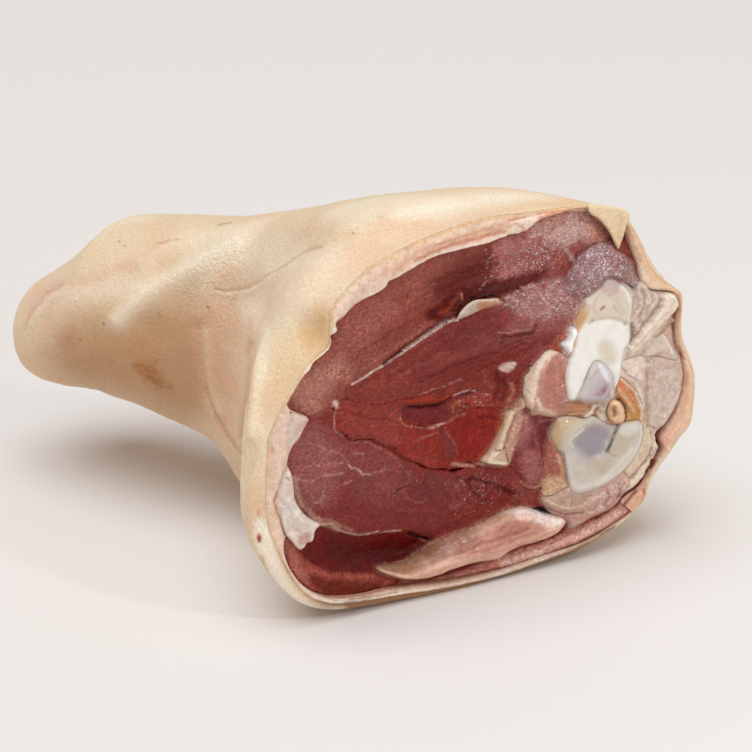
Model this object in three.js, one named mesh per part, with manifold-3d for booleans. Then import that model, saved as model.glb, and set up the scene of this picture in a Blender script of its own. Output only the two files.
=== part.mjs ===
// Raw pork hock: a short leg piece with the skin on, sawn through the knee joint.
// Millimetres, +Z up. The shank points along -X and the cut face looks towards +X and -Y.
// The origin is under the middle of the bounding box, on the surface that the hock rests on.
import * as THREE from "three";
import Module from "manifold-3d";

const wasm = await Module();
wasm.setup();

// Leg sections, from the closed end of the shank to the cut. Each one is an oval about (x, y, z),
// turned by yaw degrees, with its own reach towards the near side, the far side, up and down.
const LEG_SECTIONS = [
  { x: -124, y: 8, z: 42, yaw: 0, near: 17, far: 15, up: 14, down: 13.5 },
  { x: -114, y: 7, z: 42, yaw: 0, near: 22, far: 20, up: 17, down: 15.5 },
  { x: -104, y: 6, z: 44, yaw: 0, near: 25, far: 23, up: 20.5, down: 18.8 },
  { x: -94, y: 5, z: 47, yaw: 0, near: 26.5, far: 25, up: 24.5, down: 21 },
  { x: -85, y: 4, z: 50, yaw: 0, near: 27, far: 26, up: 28.3, down: 24 },
  { x: -70, y: 3, z: 50, yaw: 0, near: 27, far: 27, up: 30, down: 25.5 },
  { x: -56, y: 2, z: 50, yaw: 0, near: 27, far: 29, up: 31.5, down: 28.5 },
  { x: -43, y: 2, z: 49, yaw: -2, near: 27, far: 32, up: 34.5, down: 32 },
  { x: -30, y: 3, z: 47, yaw: -5, near: 28.5, far: 37, up: 39.5, down: 46 },
  { x: -10, y: -1, z: 46, yaw: -12, near: 36, far: 48, up: 46.5, down: 49 },
  { x: 10, y: -7, z: 46, yaw: -20, near: 47, far: 58, up: 51.5, down: 49 },
  { x: 28, y: -12, z: 46, yaw: -26, near: 57, far: 64, up: 55, down: 48 },
  { x: 42, y: -16, z: 45, yaw: -30, near: 65, far: 66, up: 54, down: 45 },
];
const SQUARENESS = 2.25; // 2 is an ellipse, more is boxier
const TIP_LENGTH = 14; // rounded closed end
const TIP_FULLNESS = 2.3; // 2 is a round end, more is blunter
const FRAME_SHIFT = { x: 24.15, y: 12.6 }; // moves the leg over the origin
const CUT_BLEND = 30; // length over which the leg takes the outline of the cut

// Outline of the skin at the cut: across the face and height, seen from the front.
const CUT_OUTLINE = [
  [68, 38], [66, 50], [62, 59], [61.5, 68], [56, 73], [50, 80.5], [41, 92.5], [31, 96], [20, 97.4],
  [2, 97.4], [-15, 95.4], [-30, 91], [-39, 86], [-45, 80], [-47, 73], [-52, 67], [-59, 57], [-64, 46],
  [-66, 32], [-63, 19], [-53, 6], [-40, 1], [-22, 0], [0, 0], [23, 1.5], [37, 4], [48, 9], [55, 17], [63, 27],
];
// Outline of the meat at the cut, inside the rind and its fat.
const MEAT_OUTLINE = [
  [62, 45], [61, 52], [59.5, 62], [58.5, 67], [51, 71], [46, 76], [43, 83], [37, 90], [31, 93], [20, 94.5],
  [8, 91.5], [-6, 90], [-19, 88], [-30, 85], [-38, 81], [-43, 76], [-46, 70], [-52, 65], [-56, 58], [-55, 53],
  [-56, 42], [-55, 33], [-54, 27], [-58, 22], [-57, 16], [-51, 8], [-42, 4.5], [-28, 3.2], [-10, 2.5],
  [5, 2.5], [22, 4], [35, 7.5], [44, 13], [51, 19], [56, 28], [60, 36],
];
const CUT_HEIGHT = 45; // height of the point that the cut outlines are measured from

const WALL = 6; // skin and fat behind the cut
const CAVITY_END = -92; // closed end of the hollow that the meat fills
const CAVITY_TIP = 10; // rounded end of that hollow
const MEAT_END = -84; // muscles and bone run from the cut to here
const GAP = 0.3; // clearance between touching pieces
const LIP_RISE = 0.8; // how far the sawn edge of the rind swells out of the cut
const FRONT_REACH = 15; // how far the trimming solids reach past the cut
const STRAIGHT_FROM = -2; // from here on, the sides of a piece run straight out of the cut
const EDGE_ROUND = 1.2; // rounding of the pieces that stand proud

const AROUND = 44; // points around the leg
const OUTER_RINGS = 24;
const OUTER_CROWDING = 1.45; // above 1, rings crowd towards the shank
const INNER_RINGS = 7;
const INNER_CROWDING = 1.2;
const RELIEF_RINGS = 6; // rings of the meat surface, from its edge to its middle
const SPACE_SHARE = 1.15; // the relief is drawn a little past the edge of the meat
const CELL_SECTIONS = 3; // sections along a muscle
const OUTLINE_STEP = 4.4; // spacing of points round a piece of the cut face
const CURVE_DIVISIONS = 400; // fineness of the curves that the outlines are measured along
const REACH_SAMPLES = 720; // points of an outline that its reach is read from

const CUT = LEG_SECTIONS[LEG_SECTIONS.length - 1];
const TIP = LEG_SECTIONS[0];

// Relief of the sawn meat, as round lumps and hollows: middle, half widths, turn in degrees and height.
const MEAT_LEVEL = -3;
const MEAT_LUMPS = [
  { u: -26, z: 35, wide: 25, tall: 15, turn: -8, rise: 5 },
  { u: -34, z: 72, wide: 16, tall: 9, turn: 35, rise: 3 },
  { u: -8, z: 65, wide: 24, tall: 6, turn: 20, rise: 2.5 },
  { u: 34, z: 80, wide: 9, tall: 7, turn: -20, rise: 4 },
  { u: 14, z: 88, wide: 14, tall: 5, turn: 5, rise: 2 },
  { u: 0, z: 80, wide: 18, tall: 5, turn: 15, rise: -4 },
  { u: -5, z: 52, wide: 14, tall: 5, turn: 10, rise: -2.5 },
  { u: -8, z: 40, wide: 12, tall: 6, turn: 0, rise: -2 },
  { u: -22, z: 12, wide: 22, tall: 5, turn: -8, rise: -3 },
];

// Pieces of the cut face. A piece cut first keeps its whole outline, and the later ones fit round it.
// front is how far its rounded face stands out of the cut, and depth is given where it doesn't run
// through the leg.
const PROUD_PIECES = [
  {
    name: "upper_meniscus", front: 3.2, depth: 7, color: 0xe9e3da, roughness: 0.25,
    outline: [
      [44, 66], [43, 73], [39, 77], [35, 75], [30, 70], [27, 66], [24, 58], [23.5, 51], [26, 45],
      [28.5, 47.5], [31, 53], [35, 55], [38, 51.5], [40, 47], [41.5, 54], [43.5, 59],
    ],
  },
  {
    name: "lower_meniscus", front: 3, depth: 7, color: 0xdcd6cb, roughness: 0.3,
    outline: [
      [50, 33], [48, 36.5], [42, 36.5], [40.5, 33], [38.5, 29], [34, 27.5], [29, 30], [26.5, 33.5],
      [28, 37.5], [26, 41], [21, 41], [19.5, 36], [23, 31], [24, 23], [28, 18.5], [35, 18], [43, 20],
      [49, 26],
    ],
  },
  {
    name: "cartilage_chip", front: 3, depth: 4, color: 0xf2ede4, roughness: 0.35,
    outline: [[25.6, 65.5], [25.2, 62], [23.4, 57.5], [21.2, 59.5], [22.6, 63]],
  },
  {
    name: "joint_lining", front: 1.5, depth: 6, color: 0xb8743f, roughness: 0.4,
    outline: [[40, 47.5], [42, 50], [45, 50], [47.5, 45], [49.5, 41], [49.5, 37.5], [43, 37.5], [40.5, 41]],
  },
  {
    name: "shin_bone", front: 0.5, color: 0xb9b4bd, roughness: 0.3,
    outline: [
      [50, 33], [49, 40], [46, 47], [44.5, 55], [45, 66], [43, 74], [39, 78], [33, 75], [28, 70], [24, 62],
      [22, 52], [22, 45], [19, 38], [17, 30], [18, 21], [24, 16.5], [34, 16], [44, 18], [49, 25],
    ],
  },
  {
    name: "tendon_flap", front: 4, color: 0xc9a38b, roughness: 0.4,
    outline: [
      [-32, 10.5], [-24, 12.4], [-14, 15.5], [-4, 17.5], [5, 20], [13, 18.4], [24, 13.4], [24.5, 9.6],
      [15, 7.6], [0, 6.6], [-14, 5.6], [-25, 6.9],
    ],
  },
  {
    name: "fat_pad", front: 1.6, color: 0xcdb5a2, roughness: 0.5,
    outline: [
      [44, 58], [50, 58.5], [57, 56.5], [63, 50], [67, 44], [66, 36], [60, 30], [58, 24], [52, 15], [44, 17],
      [47, 24], [48, 33], [46, 44], [42, 54],
    ],
  },
  {
    name: "joint_capsule", front: 1.2, color: 0xd3bfae, roughness: 0.5,
    outline: [[43, 74], [50, 75], [58, 73], [64, 68], [64, 58], [57, 57], [50, 59], [44, 58], [42, 64]],
  },
  {
    name: "tendon_band", front: 1.8, color: 0xd6b59c, roughness: 0.45,
    outline: [
      [19, 60.5], [21, 56], [24, 50], [24, 45], [21, 43], [14, 43.5], [10, 45], [6.5, 39], [3, 34], [-3, 34],
      [1, 38], [3, 45], [8, 53], [12, 57],
    ],
  },
  {
    name: "lower_capsule", front: 0, color: 0xb58471, roughness: 0.45,
    outline: [
      [13, 22], [20, 20], [30, 17], [44, 17], [53, 18], [46, 11.5], [36, 10.6], [26, 10.6], [20, 14.4],
      [13, 18],
    ],
  },
];
const MEAT_PIECES = [
  {
    name: "knee_muscle", color: 0x8d4344, roughness: 0.4,
    outline: [[3, 34], [6, 38], [9, 44], [14, 44], [22, 44], [22, 20], [13, 21.5], [9, 26], [6, 30]],
  },
  {
    name: "upper_muscle", color: 0x6b2b2a, roughness: 0.45,
    outline: [
      [-66, 66], [-56, 84], [-38, 94], [-18, 100], [10, 104], [30, 104], [40, 96], [33, 88], [24, 84],
      [16, 80], [4, 77], [-10, 72], [-26, 66], [-38, 60.5], [-45, 57], [-52, 55.5], [-62, 56],
    ],
  },
  {
    name: "lower_muscle", color: 0x7a3431, roughness: 0.45,
    outline: [
      [-68, 58], [-52, 57], [-43, 56], [-40, 51], [-34, 46], [-23, 38], [-14, 34.5], [0, 34], [6, 31],
      [12, 25], [15, 20], [5, 19.8], [-4, 17.4], [-17, 17], [-28, 20.5], [-42, 22.5], [-48, 26], [-64, 26],
    ],
  },
  {
    name: "base_muscle", color: 0x6a2523, roughness: 0.4,
    outline: [
      [-68, 28], [-48, 26.6], [-42, 23], [-28, 21], [-17, 17.4], [0, 19], [12, 20], [26, 12], [38, 12],
      [54, 16], [40, -6], [0, -8], [-54, -6], [-70, 10],
    ],
  },
  {
    name: "deep_muscle", color: 0x7d1f1c, roughness: 0.4,
    outline: [[-31, 46], [-24, 48], [-14, 46.5], [-4, 47.5], [7, 45], [6, 36], [0, 31], [-14, 31], [-27, 36]],
  },
  {
    name: "inner_muscle", color: 0x74221f, roughness: 0.4,
    outline: [
      [-47, 54], [-42, 58], [-32, 55], [-20, 56], [-9, 58], [3, 60], [13, 58], [10, 50], [5, 43], [-6, 44],
      [-20, 43], [-29, 41], [-38, 44],
    ],
  },
  {
    name: "middle_muscle", color: 0x7a302e, roughness: 0.4,
    outline: [
      [-50, 57], [-38, 62], [-26, 67], [-10, 73], [4, 77], [16, 80], [24, 84], [33, 88], [42, 96], [54, 84],
      [56, 72], [45, 72], [38, 74], [30, 68], [24, 60], [14, 56], [3, 58], [-9, 56], [-20, 54], [-32, 52.6],
      [-42, 54],
    ],
  },
];

// Corner of rind that hangs over the meat at the upper right.
const RIND_FLAP = {
  outline: [[28, 96.4], [35, 95.4], [42, 92.5], [41, 89], [37.5, 84], [35, 89]],
  back: -1.2,
  front: 1.6,
};

// Shape functions

const smoothstep = (from, to, value) => {
  const t = Math.min(Math.max((value - from) / (to - from), 0), 1);
  return t * t * (3 - 2 * t);
};

// Value of one section size at x, by a cubic that never overshoots the given sections.
function sectionValue(key, x) {
  const last = LEG_SECTIONS.length - 1;
  const steps = LEG_SECTIONS.slice(1).map((s, i) => s.x - LEG_SECTIONS[i].x);
  const rises = LEG_SECTIONS.slice(1).map((s, i) => (s[key] - LEG_SECTIONS[i][key]) / steps[i]);
  const slope = (i) => {
    if (i === 0) return rises[0];
    if (i === last) return rises[last - 1];
    if (rises[i - 1] * rises[i] <= 0) return 0;
    const before = 2 * steps[i] + steps[i - 1];
    const after = steps[i] + 2 * steps[i - 1];
    return (before + after) / (before / rises[i - 1] + after / rises[i]);
  };
  let i = 0;
  while (i < last - 1 && LEG_SECTIONS[i + 1].x < x) i += 1;
  const h = steps[i];
  const t = (x - LEG_SECTIONS[i].x) / h;
  const start = (1 + 2 * t) * (1 - t) ** 2 * LEG_SECTIONS[i][key] + t * (1 - t) ** 2 * h * slope(i);
  return start + t * t * (3 - 2 * t) * LEG_SECTIONS[i + 1][key] + t * t * (t - 1) * h * slope(i + 1);
}

// Smooth closed curve through the points of an outline, as evenly spaced points.
function smoothOutline(points, count) {
  const curve = new THREE.CatmullRomCurve3(
    points.map(([u, z]) => new THREE.Vector3(u, z, 0)), true, "centripetal");
  curve.arcLengthDivisions = CURVE_DIVISIONS;
  return curve.getSpacedPoints(count).slice(0, count).map((p) => new THREE.Vector2(p.x, p.y));
}

// Distance from the middle of the cut to an outline, as a function of the angle.
function polarReach(points) {
  const samples = smoothOutline(points, REACH_SAMPLES)
    .map((p) => ({ angle: Math.atan2(p.y - CUT_HEIGHT, p.x), reach: Math.hypot(p.x, p.y - CUT_HEIGHT) }))
    .sort((a, b) => a.angle - b.angle);
  return (angle) => {
    const wrapped = Math.atan2(Math.sin(angle), Math.cos(angle));
    let i = samples.findIndex((s) => s.angle > wrapped);
    if (i < 0) i = 0;
    const after = samples[i];
    const before = samples[(i + samples.length - 1) % samples.length];
    const span = (after.angle - before.angle + 2 * Math.PI) % (2 * Math.PI);
    const t = ((wrapped - before.angle + 2 * Math.PI) % (2 * Math.PI)) / span;
    return before.reach + (after.reach - before.reach) * t;
  };
}
const cutReach = polarReach(CUT_OUTLINE);
const meatReach = polarReach(MEAT_OUTLINE);

// Oval with a different reach on each side.
function ovalReach(x, angle) {
  const across = Math.cos(angle) > 0 ? sectionValue("far", x) : sectionValue("near", x);
  const tall = Math.sin(angle) > 0 ? sectionValue("up", x) : sectionValue("down", x);
  const acrossTerm = Math.abs(Math.cos(angle) / across) ** SQUARENESS;
  const tallTerm = Math.abs(Math.sin(angle) / tall) ** SQUARENESS;
  return (acrossTerm + tallTerm) ** (-1 / SQUARENESS);
}

// Shrink factor of a rounded end that starts at x = end and is length long.
function roundedEnd(x, end, length) {
  const t = Math.min(Math.max((x - end) / length, 0), 1);
  return (1 - (1 - t) ** TIP_FULLNESS) ** (1 / TIP_FULLNESS);
}

function outerReach(x, angle) {
  const blend = smoothstep(CUT.x - CUT_BLEND, CUT.x, x);
  const reach = ovalReach(x, angle) * (1 - blend) + cutReach(angle) * blend;
  return reach * roundedEnd(x, TIP.x, TIP_LENGTH);
}

function innerReach(x, angle) {
  const blend = smoothstep(CUT.x - CUT_BLEND, CUT.x, x);
  const wall = WALL * (1 - blend) + (cutReach(angle) - meatReach(angle)) * blend;
  return (outerReach(x, angle) - wall) * roundedEnd(x, CAVITY_END, CAVITY_TIP);
}

// Point of the section at x, u across and v up from its middle.
function legPoint(x, u, v) {
  const yaw = THREE.MathUtils.degToRad(sectionValue("yaw", x));
  return new THREE.Vector3(
    x - u * Math.sin(yaw), sectionValue("y", x) + u * Math.cos(yaw), sectionValue("z", x) + v);
}

// Point of the cut face, moved out of it by rise.
const CUT_YAW = THREE.MathUtils.degToRad(CUT.yaw);
const CUT_NORMAL = new THREE.Vector3(Math.cos(CUT_YAW), Math.sin(CUT_YAW), 0);
const cutPoint = (u, z, rise) => legPoint(CUT.x, u, z - CUT_HEIGHT).addScaledVector(CUT_NORMAL, rise);

// Solids from rings of points

// Mesh from rings of equal length, each turning left as seen from the front. An end with a point is
// closed by a fan to it, and one without stays open.
function ringSolid(rings, startPoint, endPoint) {
  const count = rings[0].length;
  const points = rings.flat();
  const faces = [];
  for (let r = 0; r < rings.length - 1; r += 1) {
    for (let i = 0; i < count; i += 1) {
      const next = (i + 1) % count;
      const a = r * count + i;
      const b = r * count + next;
      faces.push(a, b, a + count, b, b + count, a + count);
    }
  }
  const last = (rings.length - 1) * count;
  if (startPoint) {
    points.push(startPoint);
    const pole = points.length - 1;
    for (let i = 0; i < count; i += 1) faces.push(pole, (i + 1) % count, i);
  }
  if (endPoint) {
    points.push(endPoint);
    const pole = points.length - 1;
    for (let i = 0; i < count; i += 1) faces.push(pole, last + i, last + ((i + 1) % count));
  }
  return { points, faces };
}

// Triangles that fill an outline, as triples of point numbers. The triangulation skips points on
// straight runs, so it works on a copy with a tiny wave in it.
const FILL_WAVE = 0.001;
function fillTriangles(outline) {
  const wave = (i) => new THREE.Vector2(Math.sin(i * i), Math.cos(i * i)).multiplyScalar(FILL_WAVE);
  return THREE.ShapeUtils.triangulateShape(outline.map((p, i) => p.clone().add(wave(i))), []);
}

// Adds flat fills to both ends of a ring solid whose rings all follow one outline.
function fillEnds(solid, rings, outline) {
  const last = (rings.length - 1) * rings[0].length;
  for (const [a, b, c] of fillTriangles(outline)) {
    solid.faces.push(a, c, b);
    solid.faces.push(last + a, last + b, last + c);
  }
  return solid;
}

const toManifold = ({ points, faces }) => new wasm.Manifold(new wasm.Mesh({
  numProp: 3,
  vertProperties: new Float32Array(points.flatMap((p) => [p.x, p.y, p.z])),
  triVerts: new Uint32Array(faces),
}));

function toGeometry(manifold) {
  const mesh = manifold.getMesh();
  const geometry = new THREE.BufferGeometry();
  geometry.setAttribute("position", new THREE.BufferAttribute(new Float32Array(mesh.vertProperties), 3));
  geometry.setIndex(new THREE.BufferAttribute(new Uint32Array(mesh.triVerts), 1));
  geometry.computeVertexNormals();
  return geometry;
}

// Rind and fat: the whole skin, open at the cut

const angles = Array.from({ length: AROUND }, (_, i) => (2 * Math.PI * i) / AROUND);

const reachRing = (x, reach) => angles.map((angle) => {
  const distance = reach(x, angle);
  return legPoint(x, distance * Math.cos(angle), distance * Math.sin(angle));
});

function stationsAlong(start, end, count, crowding) {
  return Array.from({ length: count }, (_, i) => start + (end - start) * ((i + 1) / count) ** crowding);
}

function rindSolid() {
  const rest = (ring) => ring.map((p) => p.setZ(Math.max(p.z, 0)));
  const outer = stationsAlong(TIP.x, CUT.x, OUTER_RINGS, OUTER_CROWDING)
    .map((x) => rest(reachRing(x, outerReach)));
  const lip = angles.map((angle) => {
    const distance = (cutReach(angle) + meatReach(angle)) / 2;
    return cutPoint(distance * Math.cos(angle), CUT_HEIGHT + distance * Math.sin(angle), LIP_RISE);
  });
  const leg = ringSolid([...outer, lip], legPoint(TIP.x, 0, 0), cutPoint(0, CUT_HEIGHT, LIP_RISE));
  return toManifold(leg).subtract(fillingSolid(0)).add(flapSolid(0));
}

// Small tongue of rind at the corner, grown by grow on all sides.
function flapSolid(grow) {
  const outline = pieceOutline(RIND_FLAP.outline, grow);
  const rings = [RIND_FLAP.back - grow, RIND_FLAP.front + grow]
    .map((rise) => outline.map((p) => cutPoint(p.x, p.y, rise)));
  return toManifold(fillEnds(ringSolid(rings), rings, outline));
}

// Pieces of the cut face

// Moves an outline outwards by grow, or inwards where grow is negative.
function growOutline(outline, grow) {
  const count = outline.length;
  return outline.map((p, i) => {
    const before = outline[(i + count - 1) % count];
    const after = outline[(i + 1) % count];
    const along = after.clone().sub(before).normalize();
    return new THREE.Vector2(p.x + along.y * grow, p.y - along.x * grow);
  });
}

function pieceOutline(points, grow) {
  const turned = THREE.ShapeUtils.area(points.map(([u, z]) => new THREE.Vector2(u, z))) < 0;
  const ordered = turned ? [...points].reverse() : points;
  const length = points.reduce((sum, [u, z], i) => {
    const [nextU, nextZ] = points[(i + 1) % points.length];
    return sum + Math.hypot(nextU - u, nextZ - z);
  }, 0);
  return growOutline(smoothOutline(ordered, Math.round(length / OUTLINE_STEP)), grow);
}

// Moves a point of the cut face along the leg to the section at x, keeping its share of the reach.
function alongLeg(point, x) {
  const u = point.x;
  const v = point.y - CUT_HEIGHT;
  const angle = Math.atan2(v, u);
  const share = innerReach(x, angle) / innerReach(CUT.x, angle);
  return legPoint(x, u * share, v * share);
}

// Solid of one piece, from its far end to a front that stands out by front and is rounded by round.
function pieceSolid({ outline, depth }, grow, front, round) {
  const edge = pieceOutline(outline, grow);
  const start = depth ? CUT.x - depth : MEAT_END;
  const count = depth ? 1 : CELL_SECTIONS;
  const sections = Array.from({ length: count }, (_, i) => start + ((CUT.x - start) * i) / count);
  if (grow > 0) sections.unshift(start - grow);
  const rings = sections.map((x) => edge.map((p) => alongLeg(p, x)));
  rings.push(edge.map((p) => cutPoint(p.x, p.y, STRAIGHT_FROM)));
  rings.push(edge.map((p) => cutPoint(p.x, p.y, front - round)));
  const face = round > 0 ? growOutline(edge, -round) : edge;
  if (round > 0) rings.push(face.map((p) => cutPoint(p.x, p.y, front)));
  return toManifold(fillEnds(ringSolid(rings), rings, edge));
}

function meatRelief(u, z) {
  return MEAT_LUMPS.reduce((rise, lump) => {
    const turn = THREE.MathUtils.degToRad(lump.turn);
    const du = u - lump.u;
    const dz = z - lump.z;
    const along = (du * Math.cos(turn) + dz * Math.sin(turn)) / lump.wide;
    const across = (dz * Math.cos(turn) - du * Math.sin(turn)) / lump.tall;
    return rise + lump.rise * Math.exp(-along * along - across * across);
  }, MEAT_LEVEL);
}

// Everything inside the rind, drawn in by inset, with a plain block past the cut. It hollows the
// rind and trims the pieces of the cut face.
function fillingSolid(inset) {
  const reach = (x, angle) => Math.max(innerReach(x, angle) - inset, inset);
  const rings = stationsAlong(CAVITY_END, CUT.x, INNER_RINGS, INNER_CROWDING).map((x) => reachRing(x, reach));
  rings.push(rings[INNER_RINGS - 1].map((p) => p.clone().addScaledVector(CUT_NORMAL, FRONT_REACH)));
  const deepEnd = legPoint(CAVITY_END + inset, 0, 0);
  return toManifold(ringSolid(rings, deepEnd, cutPoint(0, CUT_HEIGHT, FRONT_REACH)));
}

// The empty space in front of the sawn meat: its back is the relief of the meat.
function spaceInFront() {
  const ring = (share, rise) => angles.map((angle) => {
    const distance = meatReach(angle) * share;
    const u = distance * Math.cos(angle);
    const z = CUT_HEIGHT + distance * Math.sin(angle);
    return cutPoint(u, z, rise ?? meatRelief(u, z));
  });
  const shares = Array.from({ length: RELIEF_RINGS }, (_, i) => ((i + 1) / RELIEF_RINGS) * SPACE_SHARE);
  const rings = [...shares.map((share) => ring(share)), ring(SPACE_SHARE, FRONT_REACH + 1)];
  const back = cutPoint(0, CUT_HEIGHT, meatRelief(0, CUT_HEIGHT));
  return toManifold(ringSolid(rings, back, cutPoint(0, CUT_HEIGHT, FRONT_REACH + 1)));
}

// Cuts every piece out of the filling, each clear of the ones before it.
function carvePieces() {
  const block = fillingSolid(GAP);
  const meat = block.subtract(spaceInFront());
  let taken = flapSolid(GAP);
  const carve = (piece, body, front, round) => {
    const solid = largestBody(pieceSolid(piece, 0, front, round).intersect(body).subtract(taken));
    taken = taken.add(pieceSolid(piece, GAP, FRONT_REACH, 0));
    return { piece, solid };
  };
  const proud = PROUD_PIECES.map((piece) => carve(piece, block, piece.front, EDGE_ROUND));
  const muscles = MEAT_PIECES.map((piece) => carve(piece, meat, FRONT_REACH, 0));
  return [...proud, ...muscles];
}

// The main body of a cut solid, without loose crumbs.
function largestBody(solid) {
  const bodies = solid.decompose();
  return bodies.reduce((best, body) => (body.volume() > best.volume() ? body : best));
}

// The hock

const hock = new THREE.Group();
hock.position.set(FRAME_SHIFT.x, FRAME_SHIFT.y, 0);

function addPiece(name, solid, color, roughness) {
  const mesh = new THREE.Mesh(
    toGeometry(solid), new THREE.MeshStandardMaterial({ color, roughness, metalness: 0 }));
  mesh.name = name;
  hock.add(mesh);
}

addPiece("rind_fat", rindSolid(), 0xdcbf9c, 0.5);
for (const { piece, solid } of carvePieces()) addPiece(piece.name, solid, piece.color, piece.roughness);

export default hock;
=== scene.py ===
"""Raw pork hock with the skin on, sawn through the knee: the detailed skin, fat, muscles and joint
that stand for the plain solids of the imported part.

Lengths are millimetres in the leg's own frame, and photograph positions are pixels of its
752 x 752 frame. Meshes are moved to the part's frame and turned to metres when they are made.
"""

import bpy
import numpy as np
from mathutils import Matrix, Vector, kdtree
from mathutils.geometry import delaunay_2d_cdt


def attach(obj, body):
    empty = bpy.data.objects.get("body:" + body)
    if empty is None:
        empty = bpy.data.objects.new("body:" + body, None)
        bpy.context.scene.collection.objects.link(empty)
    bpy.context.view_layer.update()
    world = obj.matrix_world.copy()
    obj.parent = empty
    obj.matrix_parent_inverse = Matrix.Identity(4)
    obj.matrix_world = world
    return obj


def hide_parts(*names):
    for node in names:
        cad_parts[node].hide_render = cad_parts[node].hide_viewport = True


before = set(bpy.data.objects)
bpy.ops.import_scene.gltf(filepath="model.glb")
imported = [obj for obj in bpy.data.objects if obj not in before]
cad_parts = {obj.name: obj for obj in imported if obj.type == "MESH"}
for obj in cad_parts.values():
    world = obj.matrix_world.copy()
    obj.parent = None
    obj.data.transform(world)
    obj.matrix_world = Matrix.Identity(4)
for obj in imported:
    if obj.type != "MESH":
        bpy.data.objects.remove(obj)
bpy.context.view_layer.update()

FRAME_SHIFT = np.array([24.15, 12.6, 0.0])  # from the leg's frame to the part's

# Camera of the photograph

PHOTO_SIDE = 752
CAMERA_AZIMUTH = 30.0
CAMERA_ELEVATION = 18.0
CAMERA_LENS = 85.0
CAMERA_SENSOR = 36.0
CAMERA_DISTANCE = 480.0
CAMERA_TARGET = np.array([0.0, 0.0, 45.0])


def camera_axes():
    """Unit vectors to the right, up and back of a camera that looks at its target."""
    azimuth, elevation = np.radians([CAMERA_AZIMUTH, CAMERA_ELEVATION])
    right = np.array([np.cos(azimuth), np.sin(azimuth), 0.0])
    back = np.array([
        np.sin(azimuth) * np.cos(elevation),
        -np.cos(azimuth) * np.cos(elevation),
        np.sin(elevation),
    ])
    return right, np.cross(back, right), back


CAMERA_RIGHT, CAMERA_UP, CAMERA_BACK = camera_axes()
CAMERA_PLACE = CAMERA_TARGET + CAMERA_BACK * CAMERA_DISTANCE
FOCAL_PIXELS = CAMERA_LENS / CAMERA_SENSOR * PHOTO_SIDE


def to_photo(points):
    """Pixels where the photograph shows the points: their offset over their depth, times the lens."""
    offset = points - CAMERA_PLACE
    depth = -(offset @ CAMERA_BACK)
    across = PHOTO_SIDE / 2 + FOCAL_PIXELS * (offset @ CAMERA_RIGHT) / depth
    down = PHOTO_SIDE / 2 - FOCAL_PIXELS * (offset @ CAMERA_UP) / depth
    return np.stack([across, down], -1)


# Shape of the leg, with the numbers of the part's own source

SECTION_X = np.array([-124, -114, -104, -94, -85, -70, -56, -43, -30, -10, 10, 28, 42], float)
SECTION_SIZES = {
    "y": [8, 7, 6, 5, 4, 3, 2, 2, 3, -1, -7, -12, -16],
    "z": [42, 42, 44, 47, 50, 50, 50, 49, 47, 46, 46, 46, 45],
    "yaw": [0, 0, 0, 0, 0, 0, 0, -2, -5, -12, -20, -26, -30],
    "near": [17, 22, 25, 26.5, 27, 27, 27, 27, 28.5, 36, 47, 57, 65],
    "far": [15, 20, 23, 25, 26, 27, 29, 32, 37, 48, 58, 64, 66],
    "up": [14, 17, 20.5, 24.5, 28.3, 30, 31.5, 34.5, 39.5, 46.5, 51.5, 55, 54],
    "down": [13.5, 15.5, 18.8, 21, 24, 25.5, 28.5, 32, 46, 49, 49, 48, 45],
}
SQUARENESS = 2.25
TIP_LENGTH = 14.0
TIP_FULLNESS = 2.3
CUT_BLEND = 30.0
CUT_HEIGHT = 45.0
CUT_X = 42.0
TIP_X = -124.0
CUT_YAW = np.radians(-30.0)
CUT_MIDDLE = np.array([42.0, -16.0, 0.0])
CUT_ACROSS = np.array([-np.sin(CUT_YAW), np.cos(CUT_YAW), 0.0])
CUT_NORMAL = np.array([np.cos(CUT_YAW), np.sin(CUT_YAW), 0.0])
WALL = 6.0
SKIN_THICKNESS = 1.6
CAVITY_END = -92.0
CAVITY_TIP = 10.0
MEAT_END = -84.0

# Outline of the leg at the cut: across the face and height.
CUT_OUTLINE = [
    (68, 38), (66, 50), (62, 59), (61.5, 68), (56, 73), (50, 80.5), (41, 92.5), (31, 96), (20, 97.4),
    (2, 97.4), (-15, 95.4), (-30, 91), (-39, 86), (-45, 80), (-47, 73), (-52, 67), (-59, 57), (-64, 46),
    (-66, 32), (-63, 19), (-53, 6), (-40, 1), (-22, 0), (0, 0), (23, 1.5), (37, 4), (48, 9), (55, 17),
    (63, 27),
]


def smoothstep(start, end, value):
    """Eased share of the way from start to end: 3 t squared less 2 t cubed."""
    t = np.clip((value - start) / (end - start), 0, 1)
    return t * t * (3 - 2 * t)


def section_value(size, x):
    """Section size at x, by a cubic through the sections whose slopes are harmonic means."""
    values = np.array(SECTION_SIZES[size], float)
    steps = np.diff(SECTION_X)
    rises = np.diff(values) / steps
    slopes = np.zeros(len(values))
    slopes[0], slopes[-1] = rises[0], rises[-1]
    before = 2 * steps[1:] + steps[:-1]
    after = steps[1:] + 2 * steps[:-1]
    same_way = rises[:-1] * rises[1:] > 0
    with np.errstate(divide="ignore", invalid="ignore"):
        mean = (before + after) / (before / rises[:-1] + after / rises[1:])
    slopes[1:-1] = np.where(same_way, mean, 0)
    i = np.clip(np.searchsorted(SECTION_X, x, side="right") - 1, 0, len(values) - 2)
    h = steps[i]
    t = (x - SECTION_X[i]) / h
    start = (1 + 2 * t) * (1 - t) ** 2 * values[i] + t * (1 - t) ** 2 * h * slopes[i]
    return start + t * t * (3 - 2 * t) * values[i + 1] + t * t * (t - 1) * h * slopes[i + 1]


CURVE_STEPS = 12  # places worked out between two points of a curve


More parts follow.
